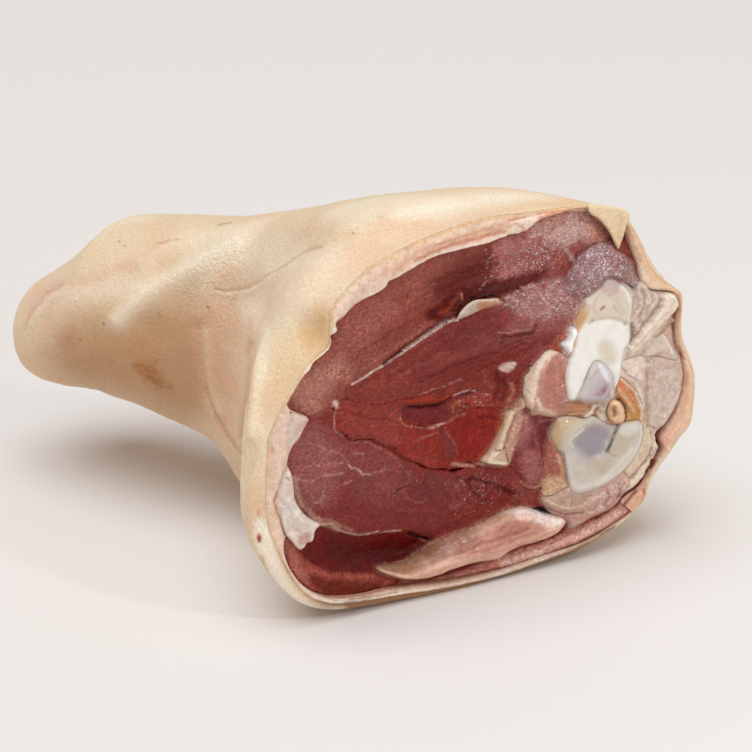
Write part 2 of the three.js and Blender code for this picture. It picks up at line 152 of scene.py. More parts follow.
def smooth_path(points, step, closed=True):
    """Points every step along a Catmull-Rom curve through the given ones."""
    p = np.asarray(points, float)
    if closed:
        p = np.concatenate([p[-1:], p, p[:2]])
    else:
        p = np.concatenate([2 * p[:1] - p[1:2], p, 2 * p[-1:] - p[-2:-1]])
    t = np.linspace(0, 1, CURVE_STEPS, endpoint=False)[:, None]
    a, b, c, d = p[:-3, None], p[1:-2, None], p[2:-1, None], p[3:, None]
    linear, square, cube = c - a, 2 * a - 5 * b + 4 * c - d, 3 * b - a - 3 * c + d
    curve = 0.5 * (2 * b + linear * t + square * t ** 2 + cube * t ** 3)
    curve = curve.reshape(-1, 2)
    if not closed:
        curve = np.concatenate([curve, p[-2:-1]])
    return even_points(curve, step, closed)


def even_points(path, step, closed=True):
    """Points every step along a polyline, or nearly so, to end on its last point."""
    if closed:
        path = np.concatenate([path, path[:1]])
    length = np.concatenate([[0], np.cumsum(np.hypot(*np.diff(path, axis=0).T))])
    count = max(int(round(length[-1] / step)), 3)
    along = np.linspace(0, length[-1], count + 1)
    if closed:
        along = along[:-1]
    return np.stack([np.interp(along, length, path[:, 0]), np.interp(along, length, path[:, 1])], -1)


def polar_reach(outline):
    """Distance from the middle of the cut to an outline of (across, height), as a function of angle."""
    across, tall = outline[:, 0], outline[:, 1] - CUT_HEIGHT
    angle = np.arctan2(tall, across)
    order = np.argsort(angle)
    reach = np.hypot(across, tall)
    return lambda turn: np.interp(turn, angle[order], reach[order], period=2 * np.pi)


CUT_OUTLINE_STEP = 0.5
CUT_REACH = polar_reach(smooth_path(CUT_OUTLINE, CUT_OUTLINE_STEP))


def oval_reach(x, angle):
    """Reach of the oval section: the squareness-th root rule, with its own size on each side."""
    across = np.where(np.cos(angle) > 0, section_value("far", x), section_value("near", x))
    tall = np.where(np.sin(angle) > 0, section_value("up", x), section_value("down", x))
    total = np.abs(np.cos(angle) / across) ** SQUARENESS + np.abs(np.sin(angle) / tall) ** SQUARENESS
    return total ** (-1 / SQUARENESS)


def rounded_end(x, end, length):
    """Shrink factor of a rounded end that starts at end: a superellipse in x."""
    t = np.clip((x - end) / length, 0, 1)
    return (1 - (1 - t) ** TIP_FULLNESS) ** (1 / TIP_FULLNESS)


def outer_reach(x, angle):
    """Reach of the skin: the oval, blended into the outline of the cut, and rounded at the tip."""
    blend = smoothstep(CUT_X - CUT_BLEND, CUT_X, x)
    reach = oval_reach(x, angle) * (1 - blend) + CUT_REACH(angle) * blend
    return reach * rounded_end(x, TIP_X, TIP_LENGTH)


def inner_reach(x, angle, meat_reach):
    """Reach of the hollow that the meat fills: the skin less its wall, with its own rounded end."""
    blend = smoothstep(CUT_X - CUT_BLEND, CUT_X, x)
    wall = WALL * (1 - blend) + (CUT_REACH(angle) - meat_reach(angle)) * blend
    return (outer_reach(x, angle) - wall) * rounded_end(x, CAVITY_END, CAVITY_TIP)


def leg_point(x, across, up):
    """Point of the section at x: its middle, moved across it and up."""
    yaw = np.radians(section_value("yaw", x))
    return np.stack([
        x - across * np.sin(yaw),
        section_value("y", x) + across * np.cos(yaw),
        section_value("z", x) + up,
    ], -1)


def cut_point(across, height, rise):
    """Point of the cut face at (across, height), moved out of it by rise."""
    across, height, rise = np.broadcast_arrays(across, height, rise)
    return (CUT_MIDDLE + across[..., None] * CUT_ACROSS + rise[..., None] * CUT_NORMAL
            + height[..., None] * np.array([0, 0, 1.0]))


def on_cut(pixels, rise=0.0):
    """(across, height) where the photograph's pixels meet the cut face moved out by rise."""
    pixels = np.asarray(pixels, float)
    ray = (CAMERA_RIGHT * ((pixels[..., :1] - PHOTO_SIDE / 2) / FOCAL_PIXELS)
           - CAMERA_UP * ((pixels[..., 1:] - PHOTO_SIDE / 2) / FOCAL_PIXELS) - CAMERA_BACK)
    away = (CUT_MIDDLE - CAMERA_PLACE) @ CUT_NORMAL + rise
    point = CAMERA_PLACE + ray * (away / (ray @ CUT_NORMAL))[..., None]
    return np.stack([(point - CUT_MIDDLE) @ CUT_ACROSS, point[..., 2]], -1)


# Smooth random values

NOISE_LATTICE = 64
SEED_SHIFT = 17.3
OCTAVE_SHIFT = 5.1
noise_table = np.random.default_rng(7).uniform(-1, 1, (NOISE_LATTICE,) * 3)


def noise(points, size, seed=0, octaves=1):
    """Smooth random values near -1 to 1: random numbers on a lattice of that cell size, blended by a
    fifth-power ease. Each further octave has half the size and half the strength."""
    points = np.asarray(points, float)
    if points.shape[-1] == 2:
        points = np.concatenate([points, np.zeros(points.shape[:-1] + (1,))], -1)
    total = np.zeros(points.shape[:-1])
    weight = 1.0
    for octave in range(octaves):
        q = points / (size / 2 ** octave) + SEED_SHIFT * (seed + 1) + OCTAVE_SHIFT * octave
        cell = np.floor(q).astype(int)
        t = q - cell
        t = t * t * t * (t * (6 * t - 15) + 10)
        value = 0
        for corner in range(8):
            step = np.array([corner & 1, corner >> 1 & 1, corner >> 2 & 1])
            i = (cell + step) % NOISE_LATTICE
            share = np.prod(np.where(step == 1, t, 1 - t), -1)
            value = value + share * noise_table[i[..., 0], i[..., 1], i[..., 2]]
        total += weight * value
        weight *= 0.5
    return total


# Marks: paths and areas in photograph pixels that shape and colour a surface

CHUNK = 4000  # points worked on at a time
WOBBLE_SIZE = 6.0  # pixels
WOBBLE_SEED = 31  # what the second direction of a wobble adds to the seed of the first
LINE_STEP = 1.5  # least step in pixels along the curve of a line, and along that of an area
AREA_STEP = 2.0


def colour(code):
    """Linear colour of a six-digit screen colour: the standard screen curve undone."""
    screen = np.array([int(code[i:i + 2], 16) for i in (0, 2, 4)]) / 255
    return np.where(screen <= 0.04045, screen / 12.92, ((screen + 0.055) / 1.055) ** 2.4)


def path_distance(pixels, path, closed):
    """Distance from each pixel to a polyline."""
    path = np.asarray(path, float)
    if closed:
        path = np.concatenate([path, path[:1]])
    start, step = path[:-1], np.diff(path, axis=0)
    length = np.maximum(np.hypot(*step.T), 1e-9)
    gaps = []
    for part in np.array_split(pixels, len(pixels) // CHUNK + 1):
        offset = part[:, None] - start
        t = np.clip((offset * step).sum(-1) / length ** 2, 0, 1)
        away = offset - t[..., None] * step
        gaps.append(np.hypot(away[..., 0], away[..., 1]).min(1))
    return np.concatenate(gaps)


def inside_edges(points, starts, ends):
    """Whether each point is inside closed edges: a level ray from it crosses an odd number of them."""
    result = np.zeros(len(points), bool)
    low, high = starts.min(0), starts.max(0)
    near = np.flatnonzero(((points >= low) & (points <= high)).all(1))
    x1, y1 = starts.T
    x2, y2 = ends.T
    slope = (x2 - x1) / np.where(y2 == y1, 1, y2 - y1)
    for part in np.array_split(near, len(near) // CHUNK + 1):
        x, y = points[part, 0][:, None], points[part, 1][:, None]
        crosses = ((y1 > y) != (y2 > y)) & (x < x1 + (y - y1) * slope)
        result[part] = crosses.sum(1) % 2 == 1
    return result


def inside(points, outline):
    """Whether each point is inside a closed outline."""
    outline = np.asarray(outline, float)
    return inside_edges(points, outline, np.roll(outline, -1, axis=0))


def line(path, width, rise=0.0, tint=None, strength=1.0, wobble=0.0, wet=0.0):
    """A mark along a path. width is its half width in pixels, rise in millimetres."""
    return dict(kind="line", path=path, width=width, rise=rise, tint=tint, strength=strength,
                wobble=wobble, wet=wet)


def area(path, soft, rise=0.0, tint=None, strength=1.0, wobble=0.0, wet=0.0):
    """A mark over the inside of an outline, with an edge that fades over soft pixels."""
    return dict(kind="area", path=path, width=soft, rise=rise, tint=tint, strength=strength,
                wobble=wobble, wet=wet)


def mark_strength(pixels, mark, seed):
    """How strongly a mark shows at each pixel: a bell across a line, or an eased edge inside an area."""
    if mark["wobble"]:
        shift = [noise(pixels, WOBBLE_SIZE, seed + more, 2) for more in (0, WOBBLE_SEED)]
        pixels = pixels + mark["wobble"] * np.stack(shift, -1)
    path, width = np.asarray(mark["path"], float), mark["width"]
    margin = 3 * width + 2
    near = np.flatnonzero(((pixels > path.min(0) - margin) & (pixels < path.max(0) + margin)).all(1))
    result = np.zeros(len(pixels))
    if not len(near):
        return result
    if mark["kind"] == "line":
        curve = smooth_path(path, max(width, LINE_STEP), closed=False) if len(path) > 2 else path
        result[near] = np.exp(-(path_distance(pixels[near], curve, False) / width) ** 2)
    else:
        curve = smooth_path(path, max(width, AREA_STEP))
        gap = path_distance(pixels[near], curve, True)
        within = np.where(inside(pixels[near], curve), gap, -gap)
        result[near] = smoothstep(-width, width, within)
    return result


def shaped(pixels, marks):
    """Rise of a surface from its marks, in millimetres: the sum of their heights times strengths."""
    rise = np.zeros(len(pixels))
    for seed, mark in enumerate(marks):
        if mark["rise"]:
            rise += mark["rise"] * mark_strength(pixels, mark, seed)
    return rise


def painted(pixels, marks, base):
    """Colour of a surface: each mark laid over the ones before it, as strongly as it shows."""
    result = np.array(base, float)
    for seed, mark in enumerate(marks):
        if mark["tint"] is not None:
            share = (mark["strength"] * mark_strength(pixels, mark, seed))[:, None]
            result += (colour(mark["tint"]) - result) * share
    return result


def wetted(pixels, marks, base):
    """Wetness from 0 to 1: the base, moved by each mark that says how wet it is."""
    result = np.full(len(pixels), float(base))
    for seed, mark in enumerate(marks):
        if mark["wet"]:
            result += mark["wet"] * mark_strength(pixels, mark, seed)
    return np.clip(result, 0, 1)


# Meshes

DARKEST = 0.2  # least share of a colour that is left when the film's light is taken off


def new_mesh(name, points, faces):
    """A smooth mesh in the part's frame."""
    mesh = bpy.data.meshes.new(name)
    place = (points + FRAME_SHIFT) / 1000
    mesh.vertices.add(len(place))
    mesh.vertices.foreach_set("co", place.astype(np.float32).ravel())
    corners = np.concatenate([np.asarray(f, np.int32).ravel() for f in faces])
    sizes = np.concatenate([np.full(len(f), f.shape[1], np.int32) for f in faces])
    starts = np.concatenate([[0], np.cumsum(sizes)[:-1]]).astype(np.int32)
    mesh.loops.add(len(corners))
    mesh.loops.foreach_set("vertex_index", corners)
    mesh.polygons.add(len(sizes))
    mesh.polygons.foreach_set("loop_start", starts)
    mesh.polygons.foreach_set("use_smooth", np.ones(len(sizes), bool))
    mesh.update()
    mesh.validate()
    return mesh


def make_piece(name, points, faces, tint, wet, look, nodes, fibre=None, grain=None):
    """A finished piece: a mesh in the part's frame and what it stands for. At each point it has its
    colour less the light that its wet film adds, its wetness, its place measured along and across its
    fibres, and how strong its grain is."""
    mesh = new_mesh(name, points, faces)
    tint = np.maximum(tint - LOOKS[look]["film"], DARKEST * tint)
    tint = np.concatenate([tint, np.ones((len(tint), 1))], 1)
    for label, kind, key, values in (
        ("tint", "FLOAT_COLOR", "color", tint),
        ("wet", "FLOAT", "value", wet),
        ("grain", "FLOAT", "value", np.ones(len(points)) if grain is None else grain),
        ("fibre", "FLOAT_VECTOR", "vector", points if fibre is None else fibre),
    ):
        attribute = mesh.attributes.new(label, kind, "POINT")
        attribute.data.foreach_set(key, np.asarray(values, np.float32).ravel())
    mesh.materials.append(materials[look])
    piece = bpy.data.objects.new(name, mesh)
    bpy.context.scene.collection.objects.link(piece)
    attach(piece, "root")
    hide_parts(*nodes)


FIBRE_STRETCH = 0.45


def along_fibres(points, degrees):
    """Places measured along and across fibres that lie in the cut at that angle, in millimetres, with
    the length along them shortened so that noise over them comes out stretched."""
    turn = np.radians(degrees)
    offset = points - CUT_MIDDLE
    across, tall, out = offset @ CUT_ACROSS, offset[:, 2], offset @ CUT_NORMAL
    along = across * np.cos(turn) + tall * np.sin(turn)
    over = tall * np.cos(turn) - across * np.sin(turn)
    return np.stack([along * FIBRE_STRETCH, over, out], -1)


def grid_faces(rows, columns):
    """Quads of a grid whose columns close into a ring, turned so that rows run from the tip outwards."""
    r, c = np.meshgrid(np.arange(rows - 1), np.arange(columns), indexing="ij")
    n = (c + 1) % columns
    upper, lower = r * columns, (r + 1) * columns
    return np.stack([upper + c, upper + n, lower + n, lower + c], -1).reshape(-1, 4)


def pole_faces(ring_start, columns, pole, forward):
    """Triangles that close a ring of points to a pole."""
    c = np.arange(columns)
    n = (c + 1) % columns
    a, b = ring_start + c, ring_start + n
    pole = np.full(columns, pole)
    return np.stack([a, b, pole] if forward else [b, a, pole], -1)


def closed_outwards(points, faces):
    """The faces of a closed mesh, all turned round if the volume they enclose comes out negative."""
    volume = 0.0
    for group in faces:
        for corner in range(1, group.shape[1] - 1):
            a, b, c = points[group[:, 0]], points[group[:, corner]], points[group[:, corner + 1]]
            volume += (a * np.cross(b, c)).sum()
    return faces if volume > 0 else [group[:, ::-1] for group in faces]


def closed_cup(grid, poles):
    """Points and faces of a closed cup: a grid of rings, and a pole for its first and its last ring."""
    points = np.concatenate([grid.reshape(-1, 3), poles])
    columns = grid.shape[1]
    count = len(grid) * columns
    faces = [grid_faces(len(grid), columns), pole_faces(0, columns, count, False),
             pole_faces(count - columns, columns, count + 1, True)]
    return points, closed_outwards(points, faces)


# Outlines of the cut, in photograph pixels, clockwise from the notch at its left

SKIN_EDGE = [
    (328, 346), (329, 334), (329.5, 322), (330.3, 310.5), (334.3, 299.8), (342.3, 287.8), (353, 278.4),
    (366.4, 269), (383.8, 258.3), (403.9, 247.6), (424, 238.2), (444, 230.8), (463.4, 223.4),
    (476.8, 218.8), (490, 216.1), (503.6, 214.8), (517, 214.1), (533, 212.1), (550.4, 209.4),
    (567.9, 206.7), (581, 205.4), (594.6, 205.5), (605.4, 208), (617, 211), (626.5, 215.4), (631, 226),
    (639, 241), (651, 268), (665, 282), (680, 290), (681, 303), (680, 339), (687, 357), (693, 374),
    (692.5, 400), (690, 424), (678, 438), (668, 452), (655.5, 468), (648, 482), (644, 499), (632, 512.5),
    (616, 525.9), (598, 536), (582.7, 545.8), (557, 555.5), (543, 560.8), (510, 572.5), (499.8, 575.7),
    (461, 585.5), (431, 591), (402, 594.7), (372.7, 599.8), (346, 604.2), (328.7, 603.5), (314, 599.8),
    (299, 588), (284.7, 566), (276, 548), (269, 530), (266, 510), (265.8, 488), (266, 472), (267, 456),
    (268, 437), (271.2, 421), (277.6, 408.2), (284, 399.5), (297, 376), (310, 363),
]
MEAT_EDGE = [
    (329, 346), (330.3, 336), (336.3, 330.6), (337, 323.9), (343.7, 316.6), (353, 307.9), (363.7, 299.8),
    (375.8, 293.8), (385.2, 287.8), (389.2, 282.4), (398.6, 277), (412, 269), (422.7, 263), (434.7, 257),
    (448.1, 252.9), (470, 247.6), (487.5, 243.6), (496.9, 239.6), (510.3, 235.5), (521, 234.2),
    (527.7, 230.2), (535.7, 223.5), (543.7, 219.5), (557.1, 215.4), (567.9, 210.5), (581.9, 208.5),
    (594, 209), (606, 212), (616, 216.5), (624, 224), (630.8, 246), (637.5, 265), (641, 281),
    (650, 290), (668, 292), (676.5, 299), (679, 310), (676, 318), (675.5, 340), (680, 355), (683.5, 370),
    (684, 384), (680.5, 400), (673, 418), (660, 436), (662.5, 444.7), (662.5, 452), (655, 463),
    (648.5, 474), (642, 484), (634, 491), (626, 496), (621, 503), (627, 508), (631, 512),
    (615.8, 522.6), (582.7, 542.5), (542.9, 556), (499.8, 570.7), (450, 582.3), (416.7, 586.2),
    (387.4, 591.8), (365.4, 596.9), (343.4, 599.1), (328.7, 598.4), (314, 592.5), (302.3, 583.7),
    (293.5, 573), (287.5, 562), (285, 549), (286, 539), (290, 529), (296, 519), (300.8, 510.3),
    (296.4, 498.6), (294.9, 483.9), (292.7, 475.1), (289.1, 466.3), (289.8, 456), (293.5, 447.2),
    (301.5, 437), (307.4, 425.2), (308.9, 417.9), (296.4, 412.7), (289.1, 407.6), (285.4, 398.8),
    (288.7, 393.6), (295.4, 385.5), (302.1, 377.5), (310.2, 369.5), (314.2, 361.4), (323.6, 354),
]
OUTLINE_STEP = 0.4
EDGE_GAP = 0.15
COARSE_PATH, FINE_PATH = 1.5, 1.2  # steps in pixels along the curves of outlines

skin_edge = on_cut(smooth_path(SKIN_EDGE, COARSE_PATH))
meat_edge = on_cut(smooth_path(MEAT_EDGE, FINE_PATH))
SKIN_EDGE_REACH = polar_reach(skin_edge)
MEAT_REACH = polar_reach(meat_edge)

# Skin: one cup of skin from the tip to its sawn edge, and its inner side

SKIN_COLUMNS = 440
SKIN_ROWS = 182
ROLL_ROWS = 14
ROW_SPREAD = 1.35  # power that brings the rows closer together towards the tip
ROLL_INNER_STEP = 4  # the inner side has one row for so many of the outer side's, in the roll
INNER_STEP = 8  # and over the rest of the skin
ROLL_LEAST, ROLL_MOST = 1.0, 8.0
SAWN_INSET = 0.1
SEEN_SHARE = 2.0  # how much closer the columns stand on the side that the photograph shows
SEEN_TURN = np.radians(150)
TURN_AVERAGE = 8  # columns on either side that a column's angle is averaged with


def sawn_edge(turn):
    """Reach of the skin's sawn edge, and how far behind the cut its roll starts."""
    edge = np.minimum(SKIN_EDGE_REACH(turn), CUT_REACH(turn) - SAWN_INSET)
    return edge, np.clip(CUT_REACH(turn) - edge, ROLL_LEAST, ROLL_MOST)


def skin_grid(turn):
    """Points of the skin from the tip to its sawn edge, and their places along the leg. Up to the roll it
    is the leg's own reach, and the roll is a quarter of an ellipse from there to the sawn edge."""
    edge, roll = sawn_edge(turn)
    share = ((np.arange(SKIN_ROWS) + 1) / SKIN_ROWS) ** ROW_SPREAD
    x = TIP_X + (CUT_X - roll - TIP_X) * share[:, None]
    reach = outer_reach(x, np.broadcast_to(turn, x.shape))
    lean = (np.arange(ROLL_ROWS) + 1) / ROLL_ROWS * np.pi / 2
    roll_reach = edge + (reach[-1] - edge) * np.cos(lean)[:, None]
    roll_x = CUT_X - roll + roll * np.sin(lean)[:, None]
    x = np.concatenate([x, roll_x])
    reach = np.concatenate([reach, roll_reach])
    return leg_point(x, reach * np.cos(turn), reach * np.sin(turn)), x


def grid_normals(points):
    """Outward directions of a grid of rings: the cross product of the steps along and around it."""
    along = np.gradient(points, axis=0)
    around = np.roll(points, -1, axis=1) - np.roll(points, 1, axis=1)
    normal = np.cross(around, along)
    return normal / np.maximum(np.linalg.norm(normal, axis=-1, keepdims=True), 1e-9)


def even_turns(outline, count, seen_share=1.0):
    """Angles about the middle of the cut, in rising order, that divide an outline into equal lengths,
    with the lengths shorter on the side that the photograph shows."""
    outline = np.concatenate([outline, outline[:1]])
    angle = np.unwrap(np.arctan2(outline[:, 1] - CUT_HEIGHT, outline[:, 0]))
    if angle[-1] < angle[0]:
        outline, angle = outline[::-1], angle[::-1]
    middle = (angle[1:] + angle[:-1]) / 2
    seen = smoothstep(-0.5, 0.3, np.cos(middle - SEEN_TURN))
    lengths = np.hypot(*np.diff(outline, axis=0).T) * (1 + (seen_share - 1) * seen)
    done = np.concatenate([[0], np.cumsum(lengths)])
    around = np.arange(-TURN_AVERAGE, count + TURN_AVERAGE) / count
    turns = np.interp(around % 1, done / done[-1], angle) + 2 * np.pi * np.floor(around)
    window = 2 * TURN_AVERAGE + 1
    return np.convolve(turns, np.ones(window) / window, "valid")


FACING_LEAST, FACING_FULL = -0.05, 0.25  # cosines of the angle between a surface and the camera


def facing_photo(points, normals):
    """1 where the surface faces the photograph's camera, 0 where it faces away, eased between."""
    to_camera = CAMERA_PLACE - points
    to_camera /= np.linalg.norm(to_camera, axis=-1, keepdims=True)
    return smoothstep(FACING_LEAST, FACING_FULL, (normals * to_camera).sum(-1))


SKIN_BASE = "e3c8a8"
SKIN_MARKS = [
    # broad painted shade on the shank's lower side, the underside and the armpit, and painted light on the
    # top, over the skin's own browner and paler tones
    area([(280, 400), (330, 350), (327, 320), (300, 315), (270, 350), (262, 400)], 20, 0, "d6ab72", 0.5),
    area([(310, 352), (330, 340), (330, 310), (318, 300), (300, 330)], 10, 0, "cf9f66", 0.5),
    area([(200, 310), (236, 305), (234, 420), (222, 430), (205, 380)], 10, 0, "e0ac8c", 0.6),
    area([(120, 330), (200, 300), (215, 400), (180, 420), (120, 395), (70, 385), (50, 350)], 26, 0,
         "b3845a", 0.8),
    area([(60, 325), (100, 305), (150, 310), (180, 330), (150, 350), (80, 350)], 14, 0, "bd8f60", 0.5),
    area([(215, 300), (215, 262), (240, 240), (300, 240), (300, 262), (262, 285)], 14, 0, "f5dfc4", 0.5),
    area([(244, 300), (264, 290), (268, 360), (262, 380), (250, 350)], 9, 0, "f6e6cc", 0.6),
    area([(62, 286), (90, 284), (120, 280), (150, 282), (120, 296), (80, 302), (60, 300)], 9, 0,
         "f5dcc6", 0.5),
    # the long ridge over the shank, made lighter as a painted highlight, and the hollow under it, made
    # darker as painted shade
    line([(118, 320), (141, 298), (157, 286), (175, 276), (194, 265), (216, 252), (236, 242)], 10, 1.5,
         "f6e6ce", 0.7),
    line([(150, 330), (180, 305), (215, 296), (250, 300)], 20, -1.6),
    line([(206, 336), (209, 360), (212, 392), (218, 412)], 7, 1.0, "ecd2b4", 0.4),
    line([(196, 330), (199, 365), (204, 395)], 7, -0.8, "d9a684", 0.35),
    # the fold where the shank meets the thick end: painted shade in the fold and painted light on the cuff
    # beside it
    line([(250.5, 345), (249.5, 372), (248, 390), (245, 410), (242, 436)], 3.5, -1.2, "cb937a", 0.5),
    line([(251, 318), (250, 335), (249, 352)], 4.0, -0.2, "d69a82", 0.5, wobble=1),
    line([(260, 330), (259, 352), (258, 372), (256, 400), (252, 436)], 6, 1.0, "f2dfc0", 0.5),
    line([(204, 386), (210, 400), (219, 420), (229, 437), (240, 453)], 1.8, -0.8, "b98d68", 0.5),
    # fine creases
    line([(214, 288), (223, 290.2), (235, 289), (244, 287.8), (254, 283), (266, 276), (280, 269),
          (292, 260.6), (304, 252), (323, 246)], 1.1, -0.35, "b98552", 0.6, wobble=0.8),
    line([(240, 291), (235, 296), (232, 301), (231, 305)], 0.7, -0.1, "c98a72", 0.6),
    line([(212, 292), (224, 294), (236, 293), (246, 291), (268, 280), (292, 265)], 3.0, 0.35),
    line([(217.4, 225.3), (224.3, 223.7), (231.2, 222.7)], 0.7, -0.2, "6d4a3a", 0.6),
    line([(158, 243.5), (165, 242), (170, 240)], 0.9, -0.15, "b78a62", 0.7),
    line([(175, 240), (180, 238.6)], 0.9, 0, "b78a62", 0.6),
    line([(300, 252), (340, 238), (380, 232), (430, 221)], 1.2, -0.15, "e0b184", 0.5, wobble=2),
    line([(330, 236), (372, 224), (430, 214)], 1.2, -0.12, "e3b78c", 0.4, wobble=2),
    # the closing fold of the tip, with a painted highlight on the pale ridge below it
    line([(62, 285.7), (55.9, 290.8), (46.7, 294.9), (40.6, 302.6), (33, 311.7), (27.6, 320.9),
          (24.5, 331.6)], 1.6, -0.5, "d9a78f", 0.5),
    line([(64, 289), (57, 295), (49, 299), (44, 306), (37, 315), (31, 324)], 3.0, 0.3, "f0dbc6", 0.4),
    line([(58, 283), (46, 289), (36, 299), (28, 311)], 5, 0.2, "e2b09d", 0.5),
    line([(62, 286), (76, 284), (90, 281), (104, 274), (117, 267.3), (132, 261)], 5, -0.2, "e0b496", 0.3),
    area([(116, 270), (124, 264), (140, 265), (132, 272)], 5, 0, "d3a18a", 0.4, wobble=3),
    # patches and stains
    area([(58, 334), (66, 331), (76, 336), (76, 346), (68, 352), (60, 346)], 8, 0, "bd7f63", 0.5,
         wobble=3),
    area([(129, 341), (140, 338), (160, 350), (168, 362), (150, 366), (132, 358)], 8, 0, "bd8459", 0.45,
         wobble=4),
    area([(132, 364), (142, 361), (156, 366), (166, 378), (172, 386), (160, 388), (148, 383), (140, 374)],
         6, 0, "ae7236", 0.6, wobble=3),
    line([(134, 365), (144, 367.5), (154, 373)], 2.2, 0, "9a5c20", 0.45, wobble=2),
    line([(139, 371), (150, 376), (161, 381)], 2.2, 0, "9a5c20", 0.4, wobble=2),
    line([(148, 379), (159, 384), (171, 388)], 2.2, 0, "9a5c20", 0.5, wobble=2),
    area([(218, 270), (262, 262), (262, 284), (238, 291), (216, 287)], 8, 0, "e0b088", 0.45, wobble=4),
    area([(156, 262), (180, 250), (172, 268), (160, 275)], 6, 0, "dcae8a", 0.4, wobble=3),
    area([(520, 192), (560, 192), (620, 206), (600, 206), (560, 204), (520, 208)], 8, 0, "e2c08c", 0.5),
    area([(244, 440), (262, 440), (264, 490), (266, 510), (256, 510), (246, 490)], 8, 0, "dcb48e", 0.4),
    area([(256, 520), (268, 526), (276, 554), (292, 588), (320, 606), (346, 607), (330, 613), (298, 607),
          (272, 580), (256, 545)], 4, 0, "fbeedd", 0.8),
    line([(261, 556), (271, 580), (286, 599), (305, 608.5), (330, 612)], 2.0, 0, "b98a58", 0.5,
         wobble=1.2),
    # pale areas painted as light: along the lit top of the skin, and on the thick end's side by the crease
    area([(400, 208), (480, 194), (560, 190), (560, 198), (480, 206), (400, 220)], 8, 0, "fdf3e2", 0.5),
    area([(245, 262), (300, 250), (345, 258), (325, 290), (310, 322), (290, 326), (262, 318),
          (248, 300)], 14, 0,
         "fbe9d2", 0.3),
    area([(238, 292), (260, 290), (264, 312), (244, 318)], 7, 0, "f6d6b8", 0.5),
    # hairs and blood spots
    line([(159.4, 313.6), (160.3, 315.6)], 1.0, 0, "3a241a", 0.95),
    line([(207.1, 305.8), (207.9, 306.8)], 0.8, 0, "3a241a", 0.9),
    line([(124.2, 246), (124.8, 246.9)], 0.7, 0, "5a3a2a", 0.8),
    line([(118.8, 240.6), (119.3, 241.4)], 0.7, 0, "5a3a2a", 0.8),
    line([(80, 339), (80.7, 340)], 0.8, 0, "6b4630", 0.8),
    line([(103.7, 323.5), (104.5, 324.5)], 0.8, 0, "6b4630", 0.8),
    line([(255.6, 448), (256.2, 449)], 0.8, 0, "6b4630", 0.7),
    line([(353, 232.6), (354, 233.6)], 0.9, 0, "5a4a30", 0.8),
    line([(379, 216.4), (380, 217.2)], 0.9, 0, "5a4a30", 0.7),
    area([(256.5, 535), (260.5, 534.5), (261, 541), (257.8, 544)], 1.2, 0, "a3150c", 0.95, wobble=1),
    area([(257, 510), (260, 510), (260, 515), (257, 515)], 1.5, 0, "d98a74", 0.7),
]
SKIN_GOOSE = area([(170, 262), (215, 240), (262, 232), (330, 222), (340, 240), (300, 262), (262, 290),
                   (250, 330), (215, 330), (180, 300)], 26)
SKIN_GOOSE_GRAIN = 0.9
SKIN_GRAIN = 0.5
SKIN_WET = 0.15
SKIN_SWELL = 0.5  # millimetres of uneven swelling all over the skin
SKIN_SWELL_SIZE = 26.0
SKIN_PUCKER = 0.09
SKIN_PUCKER_SIZE = 2.6
SKIN_REST = 0.02  # unevenness of the skin that lies on the table
SKIN_REST_SIZE = 8
SKIN_HELD = 6.0  # over this length behind the cut the relief fades out
SKIN_PATCHES = (("e8bc9a", 34, 3, 0.5), ("f5e4ca", 22, 5, 0.55), ("dca482", 14, 8, 0.25))
# painted shade: darker, browner skin near the table
SKIN_LOW_SHADE = "d0a67c"
SKIN_LOW_SHADE_SHARE = 0.2
# brown of the sawn edge low down, deepened as painted shade
SKIN_SAWN_AND_SHADE = "8e6038"
SKIN_SAWN_AND_SHADE_SHARE = 0.85
SKIN_INNER = "e9cfae"


def skin_tint(points, pixels, facing):
    """Colour of the skin: cream, with pinker, yellower and browner patches by noise, painted shade that
    makes it darker and browner near the table, browner low at the sawn edge, deepened there as painted
    shade, and the marks of the photograph on the side that it shows."""
    base = np.tile(colour(SKIN_BASE), (len(points), 1))
    for code, size, seed, strength in SKIN_PATCHES:
        share = strength * smoothstep(0.0, 0.9, noise(points, size, seed, 2))[:, None]
        base += (colour(code) - base) * share
    # painted shade near the table
    under = smoothstep(18, 2, points[:, 2])[:, None] * SKIN_LOW_SHADE_SHARE
    base += (colour(SKIN_LOW_SHADE) - base) * under
    # the sawn edge's own brown, deepened low down as painted shade
    behind = (CUT_MIDDLE - points) @ CUT_NORMAL
    sawn = smoothstep(3.5, 0.5, behind) * smoothstep(9, 3, points[:, 2])
    base += (colour(SKIN_SAWN_AND_SHADE) - base) * sawn[:, None] * SKIN_SAWN_AND_SHADE_SHARE
    marked = painted(pixels, SKIN_MARKS, base)
    return base + (marked - base) * facing[:, None]


def skin_relief(points, normals, facing, x):
    """The skin's points moved by its marks, its swelling and its pucker, and kept above the table."""
    flat = points.reshape(-1, 3)
    rise = facing * shaped(to_photo(flat), SKIN_MARKS)
    swell = SKIN_SWELL * noise(flat, SKIN_SWELL_SIZE, 11, 2)
    rise += swell + SKIN_PUCKER * noise(flat, SKIN_PUCKER_SIZE, 13, 2)
    held = smoothstep(CUT_X, CUT_X - SKIN_HELD, x).ravel()
    moved = points + (rise * held).reshape(points.shape[:2])[..., None] * normals
    lowest = np.maximum(SKIN_REST * noise(points, SKIN_REST_SIZE, 2), 0)
    moved[..., 2] = np.maximum(moved[..., 2], lowest)
    return moved


